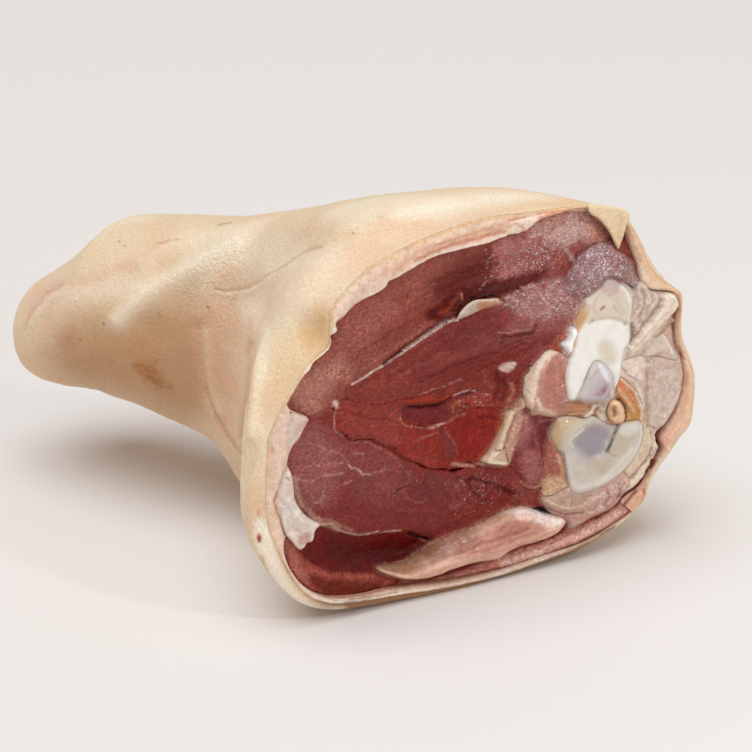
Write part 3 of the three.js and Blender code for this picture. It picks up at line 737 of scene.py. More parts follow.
def make_skin():
    """The whole skin, with an inner side that is the outer one moved in by its thickness."""
    points, x = skin_grid(even_turns(skin_edge, SKIN_COLUMNS, SEEN_SHARE))
    normals = grid_normals(points)
    flat = points.reshape(-1, 3)
    facing = facing_photo(flat, normals.reshape(-1, 3))
    moved = skin_relief(points, normals, facing, x)
    last = len(points) - 1
    picked = np.concatenate([np.arange(last, last - ROLL_ROWS, -ROLL_INNER_STEP),
                             np.arange(last - ROLL_ROWS, 2, -INNER_STEP), [1]])
    inner = moved[picked] - SKIN_THICKNESS * normals[picked]
    inner[..., 2] = np.maximum(inner[..., 2], SKIN_THICKNESS)
    tip = leg_point(TIP_X, 0.0, 0.0)
    points, faces = closed_cup(np.concatenate([moved, inner]), [tip, tip + [SKIN_THICKNESS, 0, 0]])
    outer = slice(0, len(flat))
    tints = np.tile(colour(SKIN_INNER), (len(points), 1))
    tints[outer] = skin_tint(flat, to_photo(moved.reshape(-1, 3)), facing)
    wet = np.full(len(points), SKIN_WET)
    wet[outer] = wetted(to_photo(flat), SKIN_MARKS, SKIN_WET)
    grain = np.full(len(points), SKIN_GRAIN)
    grain[outer] += SKIN_GOOSE_GRAIN * facing * mark_strength(to_photo(flat), SKIN_GOOSE, 5)
    make_piece("skin", points, faces, tints, wet, "skin", ["rind_fat"], grain=grain)


# Fat: everything between the skin and the meat, with the sawn face that shows round the cut

FAT_COLUMNS = 860
FAT_OUTER_ROWS = 16
FAT_ROLL_ROWS = 4
FAT_ROWS = 26
FAT_BACK_ROWS = 9
FAT_ROW_SPREAD = 1.3
FAT_TIP_X = TIP_X + 4.5
FAT_HOLLOW_X = (CUT_X - 12, CAVITY_END + 1.5)  # first and last station of the hollow for the meat
FAT_THINNING_X = (CUT_X - 26, CUT_X - 14)  # between them the fat rises to the inner side of the skin
FAT_INSET = 4.4  # how far under the skin's surface the fat starts, away from the cut
FAT_LEAST = 0.4  # least width of the sawn fat
SKIN_GAP = 0.25
FAT_SINK = 0.35  # how far behind the cut the fat's own roll ends
FAT_START = 0.02
FAT_LIP = 0.7
FAT_RIM = 0.9  # width of the rounded border beside the meat
FAT_RIM_DROP = 0.6  # how far it sinks
FAT_DEPTHS = (1.2, 3.0, 6.0)
FAT_BASE = "e9cdb6"
FAT_MOTTLE = "dcae92"
FAT_BY_SKIN = "ddb283"
FAT_INNER = "d9a48c"
FAT_WALL = "c98f78"
FAT_WET = 0.45
FAT_INNER_WET = 0.4
FAT_MARKS = [
    # pinkish fat along the top, with red streaks by the meat and a pale torn lip
    line([(331, 322), (336, 300), (345, 288), (356, 279), (370, 268.5), (386, 259), (404, 249.5),
          (424, 240),
          (444, 232.5), (464, 225.5), (480, 220.5), (500, 217), (520, 215.5), (545, 212), (575, 208)],
         2.4, 0.1, "e6b183", 0.8, wobble=1),
    line([(395, 270), (412, 258), (430, 250), (450, 243.5), (470, 237), (490, 232), (512, 226)], 4.5,
         -0.35,
         "e2b193", 0.8, wobble=2),
    line([(416, 261), (430, 253.5), (450, 247), (470, 240.5), (490, 235), (505, 231)], 1.8, -0.4,
         "c4705a",
         0.6, wobble=1.5),
    line([(436, 245), (456, 238.5), (476, 232.5), (500, 224)], 1.5, -0.25, "cf8468", 0.45, wobble=1.5),
    line([(360, 290), (372, 281), (388, 271)], 3.0, -0.2, "dcae94", 0.6, wobble=2),
    line([(338, 318), (345, 305), (356, 293), (370, 285)], 4.0, 0.2, "dcc2b4", 0.7, wobble=1.5),
    line([(333, 333), (339, 325), (346, 316), (355, 308.5), (366, 299), (378, 292.5), (388, 285),
          (400, 276),
          (414, 267), (426, 261), (438, 255), (452, 251), (472, 245.5), (490, 241.5), (505, 236)],
         2.2, 0.8, "dfcbbe", 0.9, wobble=0.8),
    area([(508, 236), (514, 224), (524, 215), (536, 213), (536, 221), (527, 230), (520, 234)], 2.5, 0.3,
         "e6d2c2", 0.8, wobble=2, wet=0.4),
    line([(516, 224), (524, 228), (521, 233)], 1.2, -0.5, "d59a80", 0.7, wobble=1),
    line([(508, 222), (520, 218), (540, 214), (560, 210.5)], 1.3, -0.4, "d78e70", 0.7, wobble=1),
    line([(540, 219), (556, 214), (572, 209)], 2.2, 0, "cf8f78", 0.8, wobble=1.5),
    line([(548, 216), (570, 209), (592, 206.5), (606, 210)], 2.4, 0, "d99a7c", 0.6, wobble=1),
    # left: pale pink outer fat, bright white fat beside the meat, and its two torn ends
    line([(276, 425), (271, 445), (270, 470), (272, 492), (277, 512), (283, 532)], 4, 0.0, "dcb79e", 0.6),
    line([(290, 403), (284, 420), (279, 440), (277, 460), (278, 480)], 5, 0.4, "dfc3b4", 0.7),
    line([(276, 494), (274.5, 503), (279, 516.6), (284.8, 534)], 1.2, -0.5, "b98468", 0.85, wobble=0.6),
    line([(289, 462), (283, 474), (277, 492)], 1.0, -0.35, "c39a84", 0.7, wobble=0.6),
    area([(289, 468), (292, 482), (294, 497), (300, 511), (312, 520), (321, 524), (315, 531), (312, 542),
          (304, 545), (300, 550), (294, 546), (288, 538), (281, 520), (278, 505), (281, 485)], 1.6, 0.8,
         "d9c6ba", 0.95, wobble=0.8, wet=0.3),
    line([(283, 505), (290, 522), (298, 531), (308, 533)], 2.2, 0.5, "e6d9d0", 0.6, wobble=1),
    line([(296, 536), (303, 534), (309, 536)], 1.3, -0.5, "cfae9f", 0.7, wobble=1),
    area([(292, 411), (300, 415), (308.5, 418), (306, 424), (299, 432), (291, 446), (288, 452),
          (286, 440),
          (288, 425)], 1.5, 0.6, "d2bdb0", 0.9, wobble=0.6, wet=0.2),
    line([(295, 433), (300, 427), (306, 422)], 1.0, -0.4, "c9a391", 0.7, wobble=0.5),
    area([(285, 398), (290, 400), (297, 412), (290, 412), (284, 408)], 2.5, 0.1, "e3b9a6", 0.6),
    line([(291, 393), (303, 378.5), (312, 367), (322, 357), (328, 349)], 1.6, 0.4, "f3e4d4", 0.8,
         wobble=0.6),
    line([(290, 412.3), (291.2, 412.8)], 1.0, 0, "4f2c20", 0.9),
    line([(287, 478.2), (288.3, 479.2)], 1.1, 0, "35201a", 0.95),
    area([(270, 448), (274, 448), (274, 455), (270, 455)], 1.2, 0, "d39c7d", 0.6),
    # bottom and right
    line([(284, 560), (291, 576), (302, 588), (316, 597), (332, 601.5), (350, 601.5)], 3.5, 0.3,
         "f0dccd", 0.8),
    line([(345, 602), (372, 598.5), (402, 593), (431, 588.5), (470, 580.5), (500, 573.5), (543, 559),
          (583, 544), (612, 527)], 2.4, 0.3, "e6d2c4", 0.9, wobble=0.8),
    # brown lines along the bottom edge: the skin's brown sawn edge, darkened further as painted shade
    line([(402, 595.5), (440, 589.5), (500, 576.5), (543, 561.5), (583, 546.5), (616, 526.5)], 0.9, -0.2,
         "a87a52", 0.8, wobble=0.8),
    line([(283, 566), (290, 580), (304, 597), (318, 602), (337, 604.5), (372, 600.5), (407, 595.8),
          (460, 586.5), (510, 573.5), (557, 556.5), (587, 544), (614, 527.5)], 1.8, -0.1, "744826", 0.95,
         wobble=0.6),
    line([(350, 599), (372, 596.6), (398, 592.4)], 1.0, -0.2, "a5744e", 0.7, wobble=1.2),
    area([(622, 503), (634, 492), (648, 476), (652, 480), (645, 500), (632, 512), (624, 510)], 3, -0.6,
         "e0a98c", 0.8),
    line([(624, 504), (630, 497), (636, 491)], 1.8, -0.8, "8f2a1c", 0.85, wobble=0.6),
    line([(643.5, 489), (644.8, 494)], 1.2, 0, "a61a10", 0.95),
    line([(651, 468), (653.5, 463.5), (655.5, 461)], 1.3, -0.3, "8c1f16", 0.95),
    line([(632, 226), (642, 250), (656, 276), (676, 292), (682, 320), (690, 360), (692, 392), (684, 424),
          (664, 450)], 7, 0, "e2ba98", 0.65),
    line([(662, 440), (672, 428), (682, 410), (687, 392), (686, 372)], 3.2, 0, "dfa887", 0.7),
    line([(679, 337), (681, 346), (684, 359)], 1.3, -0.2, "c4633f", 0.7, wobble=0.8),
    line([(680, 352), (681.5, 357)], 1.4, -0.2, "96261a", 0.85, wobble=0.4),
    area([(656, 430), (666, 428), (677, 430), (672, 444), (660, 446)], 3, 0.2, "dfa592", 0.6, wobble=2,
         wet=0.3),
    line([(690, 372), (692, 392), (690, 412), (686, 428)], 2.5, 0.2, "e6bf9b", 0.7),
    line([(630, 228), (637, 246), (645, 264), (656, 279), (670, 288), (679, 294), (679.5, 330),
          (684, 352)],
         2.4, 0.2, "e6bd98", 0.8),
    line([(627, 229), (633, 246), (640, 265), (646, 281)], 1.1, 0, "f0d9c2", 0.6),
]
FAT_GRAIN = 0.10
FAT_GRAIN_SIZE = 1.3


def fat_outer(turn, edge, roll):
    """Outer side of the fat, under the skin, from its own tip to the end of its roll."""
    share = (np.arange(FAT_OUTER_ROWS) + 1) / FAT_OUTER_ROWS
    x = FAT_TIP_X + (CUT_X - roll - FAT_TIP_X) * share[:, None] ** FAT_ROW_SPREAD
    near_cut = smoothstep(*FAT_THINNING_X, x)
    thick = FAT_INSET + (SKIN_THICKNESS + SKIN_GAP - FAT_INSET) * near_cut
    reach = np.maximum(outer_reach(x, np.broadcast_to(turn, x.shape)) - thick, 0.5)
    outer = leg_point(x, reach * np.cos(turn), reach * np.sin(turn))
    thick = thick[-1]
    lean = np.arange(1, FAT_ROLL_ROWS + 1) / (FAT_ROLL_ROWS + 1) * np.pi / 2
    fall = np.cos(lean)[:, None]
    roll_reach = edge - thick * fall + (reach[-1] + thick - edge) * fall
    roll_reach = np.minimum(roll_reach, edge - 0.3 * fall)
    roll_x = CUT_X - roll + (roll - FAT_SINK) * np.sin(lean)[:, None]
    rolled = leg_point(roll_x, roll_reach * np.cos(turn), roll_reach * np.sin(turn))
    outer = np.concatenate([outer, rolled])
    outer[..., 2] = np.maximum(outer[..., 2], SKIN_THICKNESS + SKIN_GAP)
    return outer


def fat_front(turn, edge, meat):
    """The sawn face of the fat, in rows from the skin's edge to the meat: its reach, its rise out of the
    cut, and its points before they rise."""
    share = np.arange(FAT_ROWS) / (FAT_ROWS - 1)
    reach = (edge - FAT_START) + (meat - edge + FAT_START) * share[:, None]
    flat = cut_point(reach * np.cos(turn), CUT_HEIGHT + reach * np.sin(turn), 0.0).reshape(-1, 3)
    rise = FAT_LIP * np.sin(np.pi * share)[:, None] + np.zeros_like(reach)
    rim = np.clip((reach - meat) / FAT_RIM, 0, 1)
    rise -= FAT_RIM_DROP * (1 - np.sqrt(1 - (1 - rim) ** 2))
    marks = shaped(to_photo(flat), FAT_MARKS).reshape(rise.shape)
    grain = FAT_GRAIN * noise(flat, FAT_GRAIN_SIZE, 21, 2).reshape(rise.shape)
    settle = smoothstep(0.0, 0.6, (edge - reach) / np.minimum(edge - meat, 1.5))
    rise += marks * settle + grain * settle
    return reach, rise, flat


def fat_tint(flat, pixels, from_skin):
    """Colour of the sawn fat: pinker patches by noise, its marks, and a yellower line by the skin."""
    base = np.tile(colour(FAT_BASE), (len(pixels), 1))
    mottle = smoothstep(-0.2, 0.8, noise(flat, 5.0, 23, 3))[:, None] * 0.35
    base += (colour(FAT_MOTTLE) - base) * mottle
    tint = painted(pixels, FAT_MARKS, base)
    by_skin = np.exp(-(from_skin / 0.5) ** 2).reshape(-1, 1) * 0.6
    tint += (colour(FAT_BY_SKIN) - tint) * by_skin
    return tint


def fat_inner(turn, meat, rise):
    """Inner side of the fat: down beside the meat, and then round the hollow that the meat fills."""
    across, height = meat * np.cos(turn), CUT_HEIGHT + meat * np.sin(turn)
    rows = [cut_point(across, height, rise - depth) for depth in FAT_DEPTHS]
    for x in np.linspace(*FAT_HOLLOW_X, FAT_BACK_ROWS):
        reach = np.maximum(inner_reach(x, turn, MEAT_REACH) + EDGE_GAP, 0.6)
        rows.append(leg_point(np.full_like(turn, x), reach * np.cos(turn), reach * np.sin(turn)))
    return np.stack(rows)


def make_fat():
    """The fat cup: its outer side follows the inner side of the skin, its front runs from the sawn edge
    of the skin to the meat, and its inner side follows the hollow that the meat fills."""
    turn = even_turns(meat_edge, FAT_COLUMNS)
    edge, roll = sawn_edge(turn)
    meat = np.minimum(MEAT_REACH(turn) + EDGE_GAP, edge - FAT_LEAST)
    outer = fat_outer(turn, edge, roll)
    reach, rise, flat = fat_front(turn, edge, meat)
    front = cut_point(reach * np.cos(turn), CUT_HEIGHT + reach * np.sin(turn), rise)
    poles = np.stack([leg_point(FAT_TIP_X - 0.5, 0.0, 0.0), leg_point(CAVITY_END, 0.0, 0.0)])
    points, faces = closed_cup(np.concatenate([outer, front, fat_inner(turn, meat, rise[-1])]), poles)
    pixels = to_photo(front.reshape(-1, 3))
    first = len(outer) * FAT_COLUMNS
    end = first + len(flat)
    tints = np.tile(colour(FAT_INNER), (len(points), 1))
    tints[first:end] = fat_tint(flat, pixels, edge - reach)
    tints[end:end + FAT_COLUMNS] = colour(FAT_WALL)
    wet = np.full(len(points), FAT_INNER_WET)
    wet[first:end] = wetted(pixels, FAT_MARKS, FAT_WET)
    make_piece("rind_fat_layer", points, faces, tints, wet, "fat", ["rind_fat"])


# Meat and joint: the cut face divided into pieces

MEAT_LEVEL = -3.0
MEAT_LUMPS = [  # across, height, half widths, turn in degrees and rise of each round lump or hollow
    (-26, 35, 25, 15, -8, 5), (-34, 72, 16, 9, 35, 3), (-8, 65, 24, 6, 20, 2.5), (34, 80, 9, 7, -20, 4),
    (14, 88, 14, 5, 5, 2), (0, 80, 18, 5, 15, -4), (-5, 52, 14, 5, 10, -2.5), (-8, 40, 12, 6, 0, -2),
    (-22, 12, 22, 5, -8, -3), (22, 4, 30, 6, 3, 2.4), (46, 15, 14, 7, 35, 2.6), (27, 62, 8, 16, -10, 3.2),
    (22, 30, 8, 14, 0, 3.4), (38, 77, 8, 6, 0, 2.2),
]


def meat_relief(across, height):
    """Rise of the sawn meat: a level and a sum of round, turned bells."""
    rise = np.full(np.shape(across), MEAT_LEVEL)
    for middle, level, wide, tall, degrees, lift in MEAT_LUMPS:
        turn = np.radians(degrees)
        du, dz = across - middle, height - level
        along = (du * np.cos(turn) + dz * np.sin(turn)) / wide
        over = (dz * np.cos(turn) - du * np.sin(turn)) / tall
        rise = rise + lift * np.exp(-along ** 2 - over ** 2)
    return rise


FIRST_LEVEL = -1.0
OUTLINE_ROUNDS = 5  # times that an outline is moved to the level it finds
LEVEL_AVERAGE = 7  # points on either side that the level under an outline is averaged with


def piece_outline(piece, level_at):
    """Outline of a piece as (across, height): where the photograph's pixels meet the level of the face
    there, or the middle of the rounded edge of a piece that stands proud of it."""
    path = smooth_path(piece["outline"], COARSE_PATH)
    place = on_cut(path, FIRST_LEVEL)
    ends, window = LEVEL_AVERAGE, 2 * LEVEL_AVERAGE + 1
    for _ in range(OUTLINE_ROUNDS):
        level = level_at(place)
        level = np.concatenate([level[-ends:], level, level[:ends]])
        level = np.convolve(level, np.ones(window) / window, "valid")
        place = on_cut(path, level + piece["proud"] / 2)
    return even_points(place, OUTLINE_STEP)


FACE_STEP = 0.42
GRID_GAP = 0.62  # least gap between the lattice and an outline, in steps
BORDER_GAP = 0.3
SHRINK = 0.004
WALL_RISES = (-1.5, -6.0)
WALL_LEAST = 0.4
WALL_SHADE = 0.9  # colour of the walls and the back as a share of that of the border
THROUGH = 50.0  # pieces deeper than this run through to the far end of the meat
BACK_STATIONS = 7
BACK_START = CUT_X - 14
SETTLED = 0.8  # over this distance from its border a piece's grain grows to its full height


def tree_of(points):
    """Search tree of (across, height) points."""
    tree = kdtree.KDTree(len(points))
    for i, (x, y) in enumerate(points):
        tree.insert((x, y, 0), i)
    tree.balance()
    return tree


def gap_to(tree, points):
    """Distance from each point to the nearest one of the tree."""
    return np.array([tree.find((x, y, 0))[2] for x, y in points])


def hex_points(low, high, step):
    """Points of a triangular lattice of that step over a rectangle."""
    rows = np.arange(low[1], high[1], step * np.sqrt(3) / 2)
    columns = np.arange(low[0], high[0], step)
    x, y = np.meshgrid(columns, rows)
    x = x + (np.arange(len(rows)) % 2)[:, None] * step / 2
    return np.stack([x.ravel(), y.ravel()], -1)


def triangles_of(points, edges):
    """Triangles over the points that keep to the edges, turned anticlockwise, and their points."""
    places = [Vector(p) for p in points.tolist()]
    result = delaunay_2d_cdt(places, [tuple(e) for e in edges], [], 0, 1e-6)
    place = np.array([tuple(v) for v in result[0]])
    corners = np.array([f for f in result[2] if len(f) == 3])
    a, b, c = place[corners[:, 0]], place[corners[:, 1]], place[corners[:, 2]]
    turn = (b[:, 0] - a[:, 0]) * (c[:, 1] - a[:, 1]) - (b[:, 1] - a[:, 1]) * (c[:, 0] - a[:, 0])
    corners[turn < 0] = corners[turn < 0][:, ::-1]
    return place, corners[np.abs(turn) > 1e-7]


def divided_face(border, outlines, step):
    """The cut face in triangles that keep to the border and the outlines. Each triangle belongs to the
    first outline that holds its middle, or to none (-1)."""
    kept, edges = [border], [(i, (i + 1) % len(border)) for i in range(len(border))]
    total = len(border)
    for index, outline in enumerate(outlines):
        keep = inside(outline, border)
        for higher in outlines[:index]:
            keep &= ~inside(outline, higher)
        keep &= gap_to(tree_of(np.concatenate(kept)), outline) > BORDER_GAP
        number = np.where(keep, total + np.cumsum(keep) - 1, -1)
        following = np.roll(number, -1)
        edges += [(a, b) for a, b in zip(number, following) if a >= 0 and b >= 0]
        kept.append(outline[keep])
        total += keep.sum()
    lines = np.concatenate(kept)
    grid = hex_points(border.min(0), border.max(0), step)
    grid = grid[inside(grid, border)]
    grid = grid[gap_to(tree_of(lines), grid) > GRID_GAP * step]
    points, corners = triangles_of(np.concatenate([lines, grid]), edges)
    middle = points[corners].mean(1)
    corners = corners[inside(middle, border)]
    middle = points[corners].mean(1)
    owner = np.full(len(corners), -1)
    for index, outline in enumerate(outlines):
        free = np.flatnonzero(owner < 0)
        owner[free[inside(middle[free], outline)]] = index
    return points, corners, owner


def largest_part(corners):
    """The triangles of the largest part that is joined by edges."""
    parent = list(range(len(corners)))

    def root(i):
        while parent[i] != i:
            parent[i] = parent[parent[i]]
            i = parent[i]
        return i

    first = {}
    for face, (a, b, c) in enumerate(corners.tolist()):
        for edge in ((a, b), (b, c), (c, a)):
            edge = (min(edge), max(edge))
            if edge in first:
                parent[root(face)] = root(first[edge])
            else:
                first[edge] = face
    roots = np.array([root(i) for i in range(len(corners))])
    names, counts = np.unique(roots, return_counts=True)
    return corners[roots == names[counts.argmax()]]


def border_edges(corners):
    """Directed edges that only one triangle has."""
    edges = np.concatenate([corners[:, [0, 1]], corners[:, [1, 2]], corners[:, [2, 0]]])
    both = {tuple(e) for e in edges.tolist()}
    return np.array([e for e in edges.tolist() if (e[1], e[0]) not in both])


def compact(points, corners):
    """Only the points that the triangles use, and the triangles renumbered."""
    used = np.unique(corners)
    number = np.full(len(points), -1)
    number[used] = np.arange(len(used))
    return points[used], number[corners]


def inward(place, edges):
    """Unit direction at each point of the border that leads into the piece."""
    along = place[edges[:, 1]] - place[edges[:, 0]]
    left = np.stack([-along[:, 1], along[:, 0]], -1)
    total = np.zeros_like(place)
    np.add.at(total, edges[:, 0], left)
    np.add.at(total, edges[:, 1], left)
    return total / np.maximum(np.hypot(*total.T), 1e-9)[:, None]


FIELD_ROUNDS = 22
TINT_ROUNDS = 3


def spread(values, corners, rounds):
    """Values at the points of a mesh, averaged with their neighbours' again and again."""
    edges = np.concatenate([corners[:, [0, 1]], corners[:, [1, 2]], corners[:, [2, 0]]])
    start, end = np.concatenate([edges, edges[:, ::-1]]).T
    count = np.maximum(np.bincount(start, minlength=len(values)), 1)
    values = values.reshape(len(values), -1)
    for _ in range(rounds):
        around = np.stack([np.bincount(start, v[end], len(v)) for v in values.T], -1)
        values = 0.5 * values + 0.5 * around / count[:, None]
    return values


def held_by(index, corners, owner):
    """The triangles of a piece of the face. The last piece has those that no other holds."""
    return corners[owner == (-1 if index == len(FACE_PIECES) - 1 else index)]


def at_points(points, corners, owner, of_piece):
    """What of_piece(piece, place) gives at each point of the face: the mean over the pieces there."""
    total, count = 0, np.zeros(len(points))
    for index, piece in enumerate(FACE_PIECES):
        number = np.bincount(held_by(index, corners, owner).ravel(), minlength=len(points))
        total = total + number[:, None] * of_piece(piece, points).reshape(len(points), -1)
        count += number
    return total / np.maximum(count, 1)[:, None]


def own_level(piece, place):
    """Level of a piece before it runs into its neighbours."""
    return meat_relief(*place.T) if piece["level"] is None else np.full(len(place), piece["level"])


def own_base(piece, place):
    """Base colour of a piece."""
    return np.tile(colour(piece["base"]), (len(place), 1))


def risen(place, level, marks):
    """The level moved by the marks, which are read where the photograph shows the surface: twice, the
    second time at its risen place."""
    rise = level
    for _ in range(2):
        rise = level + shaped(to_photo(cut_point(*place.T, rise)), marks)
    return rise


def block_front(piece, place, rim, used, face):
    """Rise, colour and wetness at each point of the front of a piece."""
    gap = gap_to(tree_of(place[rim]), place)
    lean = 1 - np.clip(gap / piece["round"], 0, 1)
    bulge = np.sqrt(1 - lean ** 2)
    level = face["level"][used] + piece["proud"] * bulge - piece["drop"] * (1 - bulge)
    settled = smoothstep(0, SETTLED, gap)
    flat = cut_point(*place.T, 0.0)
    for size, amount, octaves in piece["grain"]:
        level = level + settled * amount * noise(flat, size, int(size * 10), octaves)
    if piece["look"] == "meat":
        return level + face["shape"][used], face["tint"][used], face["wet"][used]
    marks = piece["marks"]
    rise = risen(place, level, marks)
    pixels = to_photo(cut_point(*place.T, rise))
    return rise, painted(pixels, marks, face["base"][used]), wetted(pixels, marks, piece["wet"])


def block_rows(piece, place, rise):
    """Rows of points under the border of a piece: down its walls, and then to its own depth or through
    to the far end of the meat. Rows that would not lie behind the border are left out."""
    rows = [cut_point(*place.T, np.minimum(depth, rise - WALL_LEAST)) for depth in WALL_RISES
            if depth > -piece["depth"] + 0.5]
    if piece["depth"] > THROUGH:
        rows += through_rows(place)
    else:
        rows.append(cut_point(*place.T, -piece["depth"]))
    border = cut_point(*place.T, rise)
    return [row for row in rows if ((row - border) @ CUT_NORMAL).max() < -0.1]


def block_faces(place, corners, edges, rim, row_count):
    """Faces of a piece: its front, its walls, and the back that closes it."""
    order = np.full(len(place), -1)
    order[rim] = np.arange(len(rim))
    rings = [np.arange(len(place))] + [np.where(order >= 0, len(place) + i * len(rim) + order, -1)
                                       for i in range(row_count)]
    a, b = edges.T
    faces = [corners]
    for upper, lower in zip(rings[:-1], rings[1:]):
        faces.append(np.stack([upper[b], upper[a], lower[a], lower[b]], -1))
    cap_place, cap = triangles_of(place[rim], order[edges])
    cap = cap[inside_edges(cap_place[cap].mean(1), place[edges[:, 0]], place[edges[:, 1]])]
    faces.append(rings[-1][rim][cap[:, ::-1]])
    return faces


def make_block(piece, points, corners, face):
    """A piece of the cut face: its front, walls down to its depth and a back that closes it. face holds
    the level, base colour and shared marks at every point of the face."""
    corners = largest_part(corners)
    used = np.unique(corners)
    place, corners = compact(points, corners)
    edges = border_edges(corners)
    rim = np.unique(edges)
    rise, tint, wet = block_front(piece, place, rim, used, face)
    front = cut_point(*place.T, rise)
    moved = place[rim] + inward(place, edges)[rim] * SHRINK
    front[rim] = cut_point(*moved.T, rise[rim])
    rows = block_rows(piece, moved, rise[rim])
    faces = block_faces(place, corners, edges, rim, len(rows))
    tints = np.concatenate([tint] + [tint[rim] * WALL_SHADE] * len(rows))
    wets = np.concatenate([wet] + [wet[rim]] * len(rows))
    points = np.concatenate([front] + rows)
    make_piece(piece["name"], points, faces, tints, wets, piece["look"], [piece["node"]],
               fibre=along_fibres(points, piece["fibres"]))


def through_rows(place):
    """Rows of wall points from behind the cut to the far end of the meat: each keeps its angle round the
    leg and its share of the reach of the hollow."""
    across, tall = place[:, 0], place[:, 1] - CUT_HEIGHT
    angle = np.arctan2(tall, across)
    share = np.hypot(across, tall) / MEAT_REACH(angle)
    rows = []
    for x in np.linspace(BACK_START, MEAT_END, BACK_STATIONS):
        reach = share * inner_reach(np.full_like(angle, x), angle, MEAT_REACH)
        rows.append(leg_point(np.full_like(angle, x), reach * np.cos(angle), reach * np.sin(angle)))
    return rows


def piece_of(name, node, slot, outline, base, marks=(), level=None, depth=99.0, look="meat", wet=0.35,
             grain=(), edge=0.6, drop=0.03, proud=0.0, fibres=20):
    """Settings of one piece of the cut face. level is None where it follows the relief of the meat. It
    stands proud of the face over a rounded edge of that width, and sinks by drop at its border. Its
    fibres lie at that many degrees."""
    return dict(name=name, node=node, slot=slot, outline=outline, base=base, marks=list(marks), level=level,
                depth=depth, look=look, wet=wet, grain=list(grain), round=edge, drop=drop, proud=proud,
                fibres=fibres)


# Grain of the muscles: size and height of its bumps in millimetres, and octaves
FIBRES = [(3.2, 0.22, 3), (0.9, 0.10, 2)]

UPPER_MENISCUS = piece_of(
    "upper_meniscus_body", "upper_meniscus", "meniscus",
    [(583.9, 299.8), (590, 293), (600, 287), (604, 280.5), (612, 278.5), (618, 282), (622.8, 283.7),
     (629.5, 290.4), (632.1, 297.1), (632, 310.5), (629.8, 321.2), (630.6, 334.6), (629.5, 343),
     (625.4, 352), (622.8, 364.1), (619.4, 377.5), (616.1, 386), (612.5, 389), (611.5, 379), (608, 370),
     (602, 363), (596.5, 361.5), (592, 368), (586, 382), (580, 394), (573.6, 401.2), (567.5, 398.2),
     (565, 386), (564.8, 372), (567, 361), (571, 350), (573, 338), (575.5, 327), (575.5, 318.6),
     (578.6, 309)],
    "efebe4", level=2.2, proud=0.35, depth=7.0, look="cartilage", wet=0.8, grain=[(5.0, 0.18, 2)], edge=1.8,
    marks=[
        area([(583, 300), (592, 292), (604, 284), (618, 281), (629, 290), (633, 299), (632, 312),
              (629, 322),
              (614, 318.5), (602, 318), (592, 321), (577, 324), (577, 310)], 2.6, 0.25, "dacab6", 0.9,
             wobble=1.2),
        area([(584, 303), (590, 307), (588, 316), (583, 326), (578, 336), (574, 349), (570, 356),
              (566, 358),
              (571, 344), (574, 328), (576, 314)], 2.4, -0.15, "cf9a64", 0.85, wobble=0.8),
        area([(603, 284), (606, 279), (614, 278), (619, 284), (618, 291), (610, 295), (604, 292)], 2.0,
             0.5,
             "c4a9a6", 0.7, wobble=1.6, wet=0.3),
        line([(589, 323), (597, 319.6), (606, 318.2), (617, 319.4), (627, 323)], 1.5, -0.3, "cabda6", 0.7,
             wobble=0.6),
        # painted shade above the bump
        area([(597, 346), (605, 341), (613, 347), (617, 360), (610, 366), (601, 359)], 4.5, -0.4,
             "d8cbb2",
             0.75),
        # painted highlight along the right edge
        line([(631.5, 300), (631, 312), (629, 322), (629.6, 336), (627, 347)], 1.0, 0.25, "f7efe0", 0.7),
        line([(616, 300), (621, 308), (620, 316)], 2.6, 0.2, "cfb898", 0.5, wobble=1.5),
        line([(596, 300), (594, 308), (598, 314)], 2.2, -0.2, "cbb090", 0.5, wobble=1.5),
        # painted highlight at the top right
        line([(622, 287), (627, 294), (630, 303)], 2.2, 0.3, "f2ece4", 0.8, wobble=1.2, wet=0.2),
        line([(586, 298), (588, 304), (585, 311)], 1.5, 0.4, "cdbcc2", 0.8, wobble=0.8),
        line([(600.5, 309.5), (604, 306.5)], 1.2, -0.2, "8c3a30", 0.85, wobble=0.5),
        line([(614, 306), (616.5, 311)], 0.9, -0.1, "b0705c", 0.5, wobble=0.5),
        line([(592, 320), (592.8, 320.8)], 0.9, -0.1, "6e5a40", 0.8),
        line([(624.4, 323.4), (625.6, 324.2)], 1.1, -0.1, "7d6a50", 0.8),
    ])
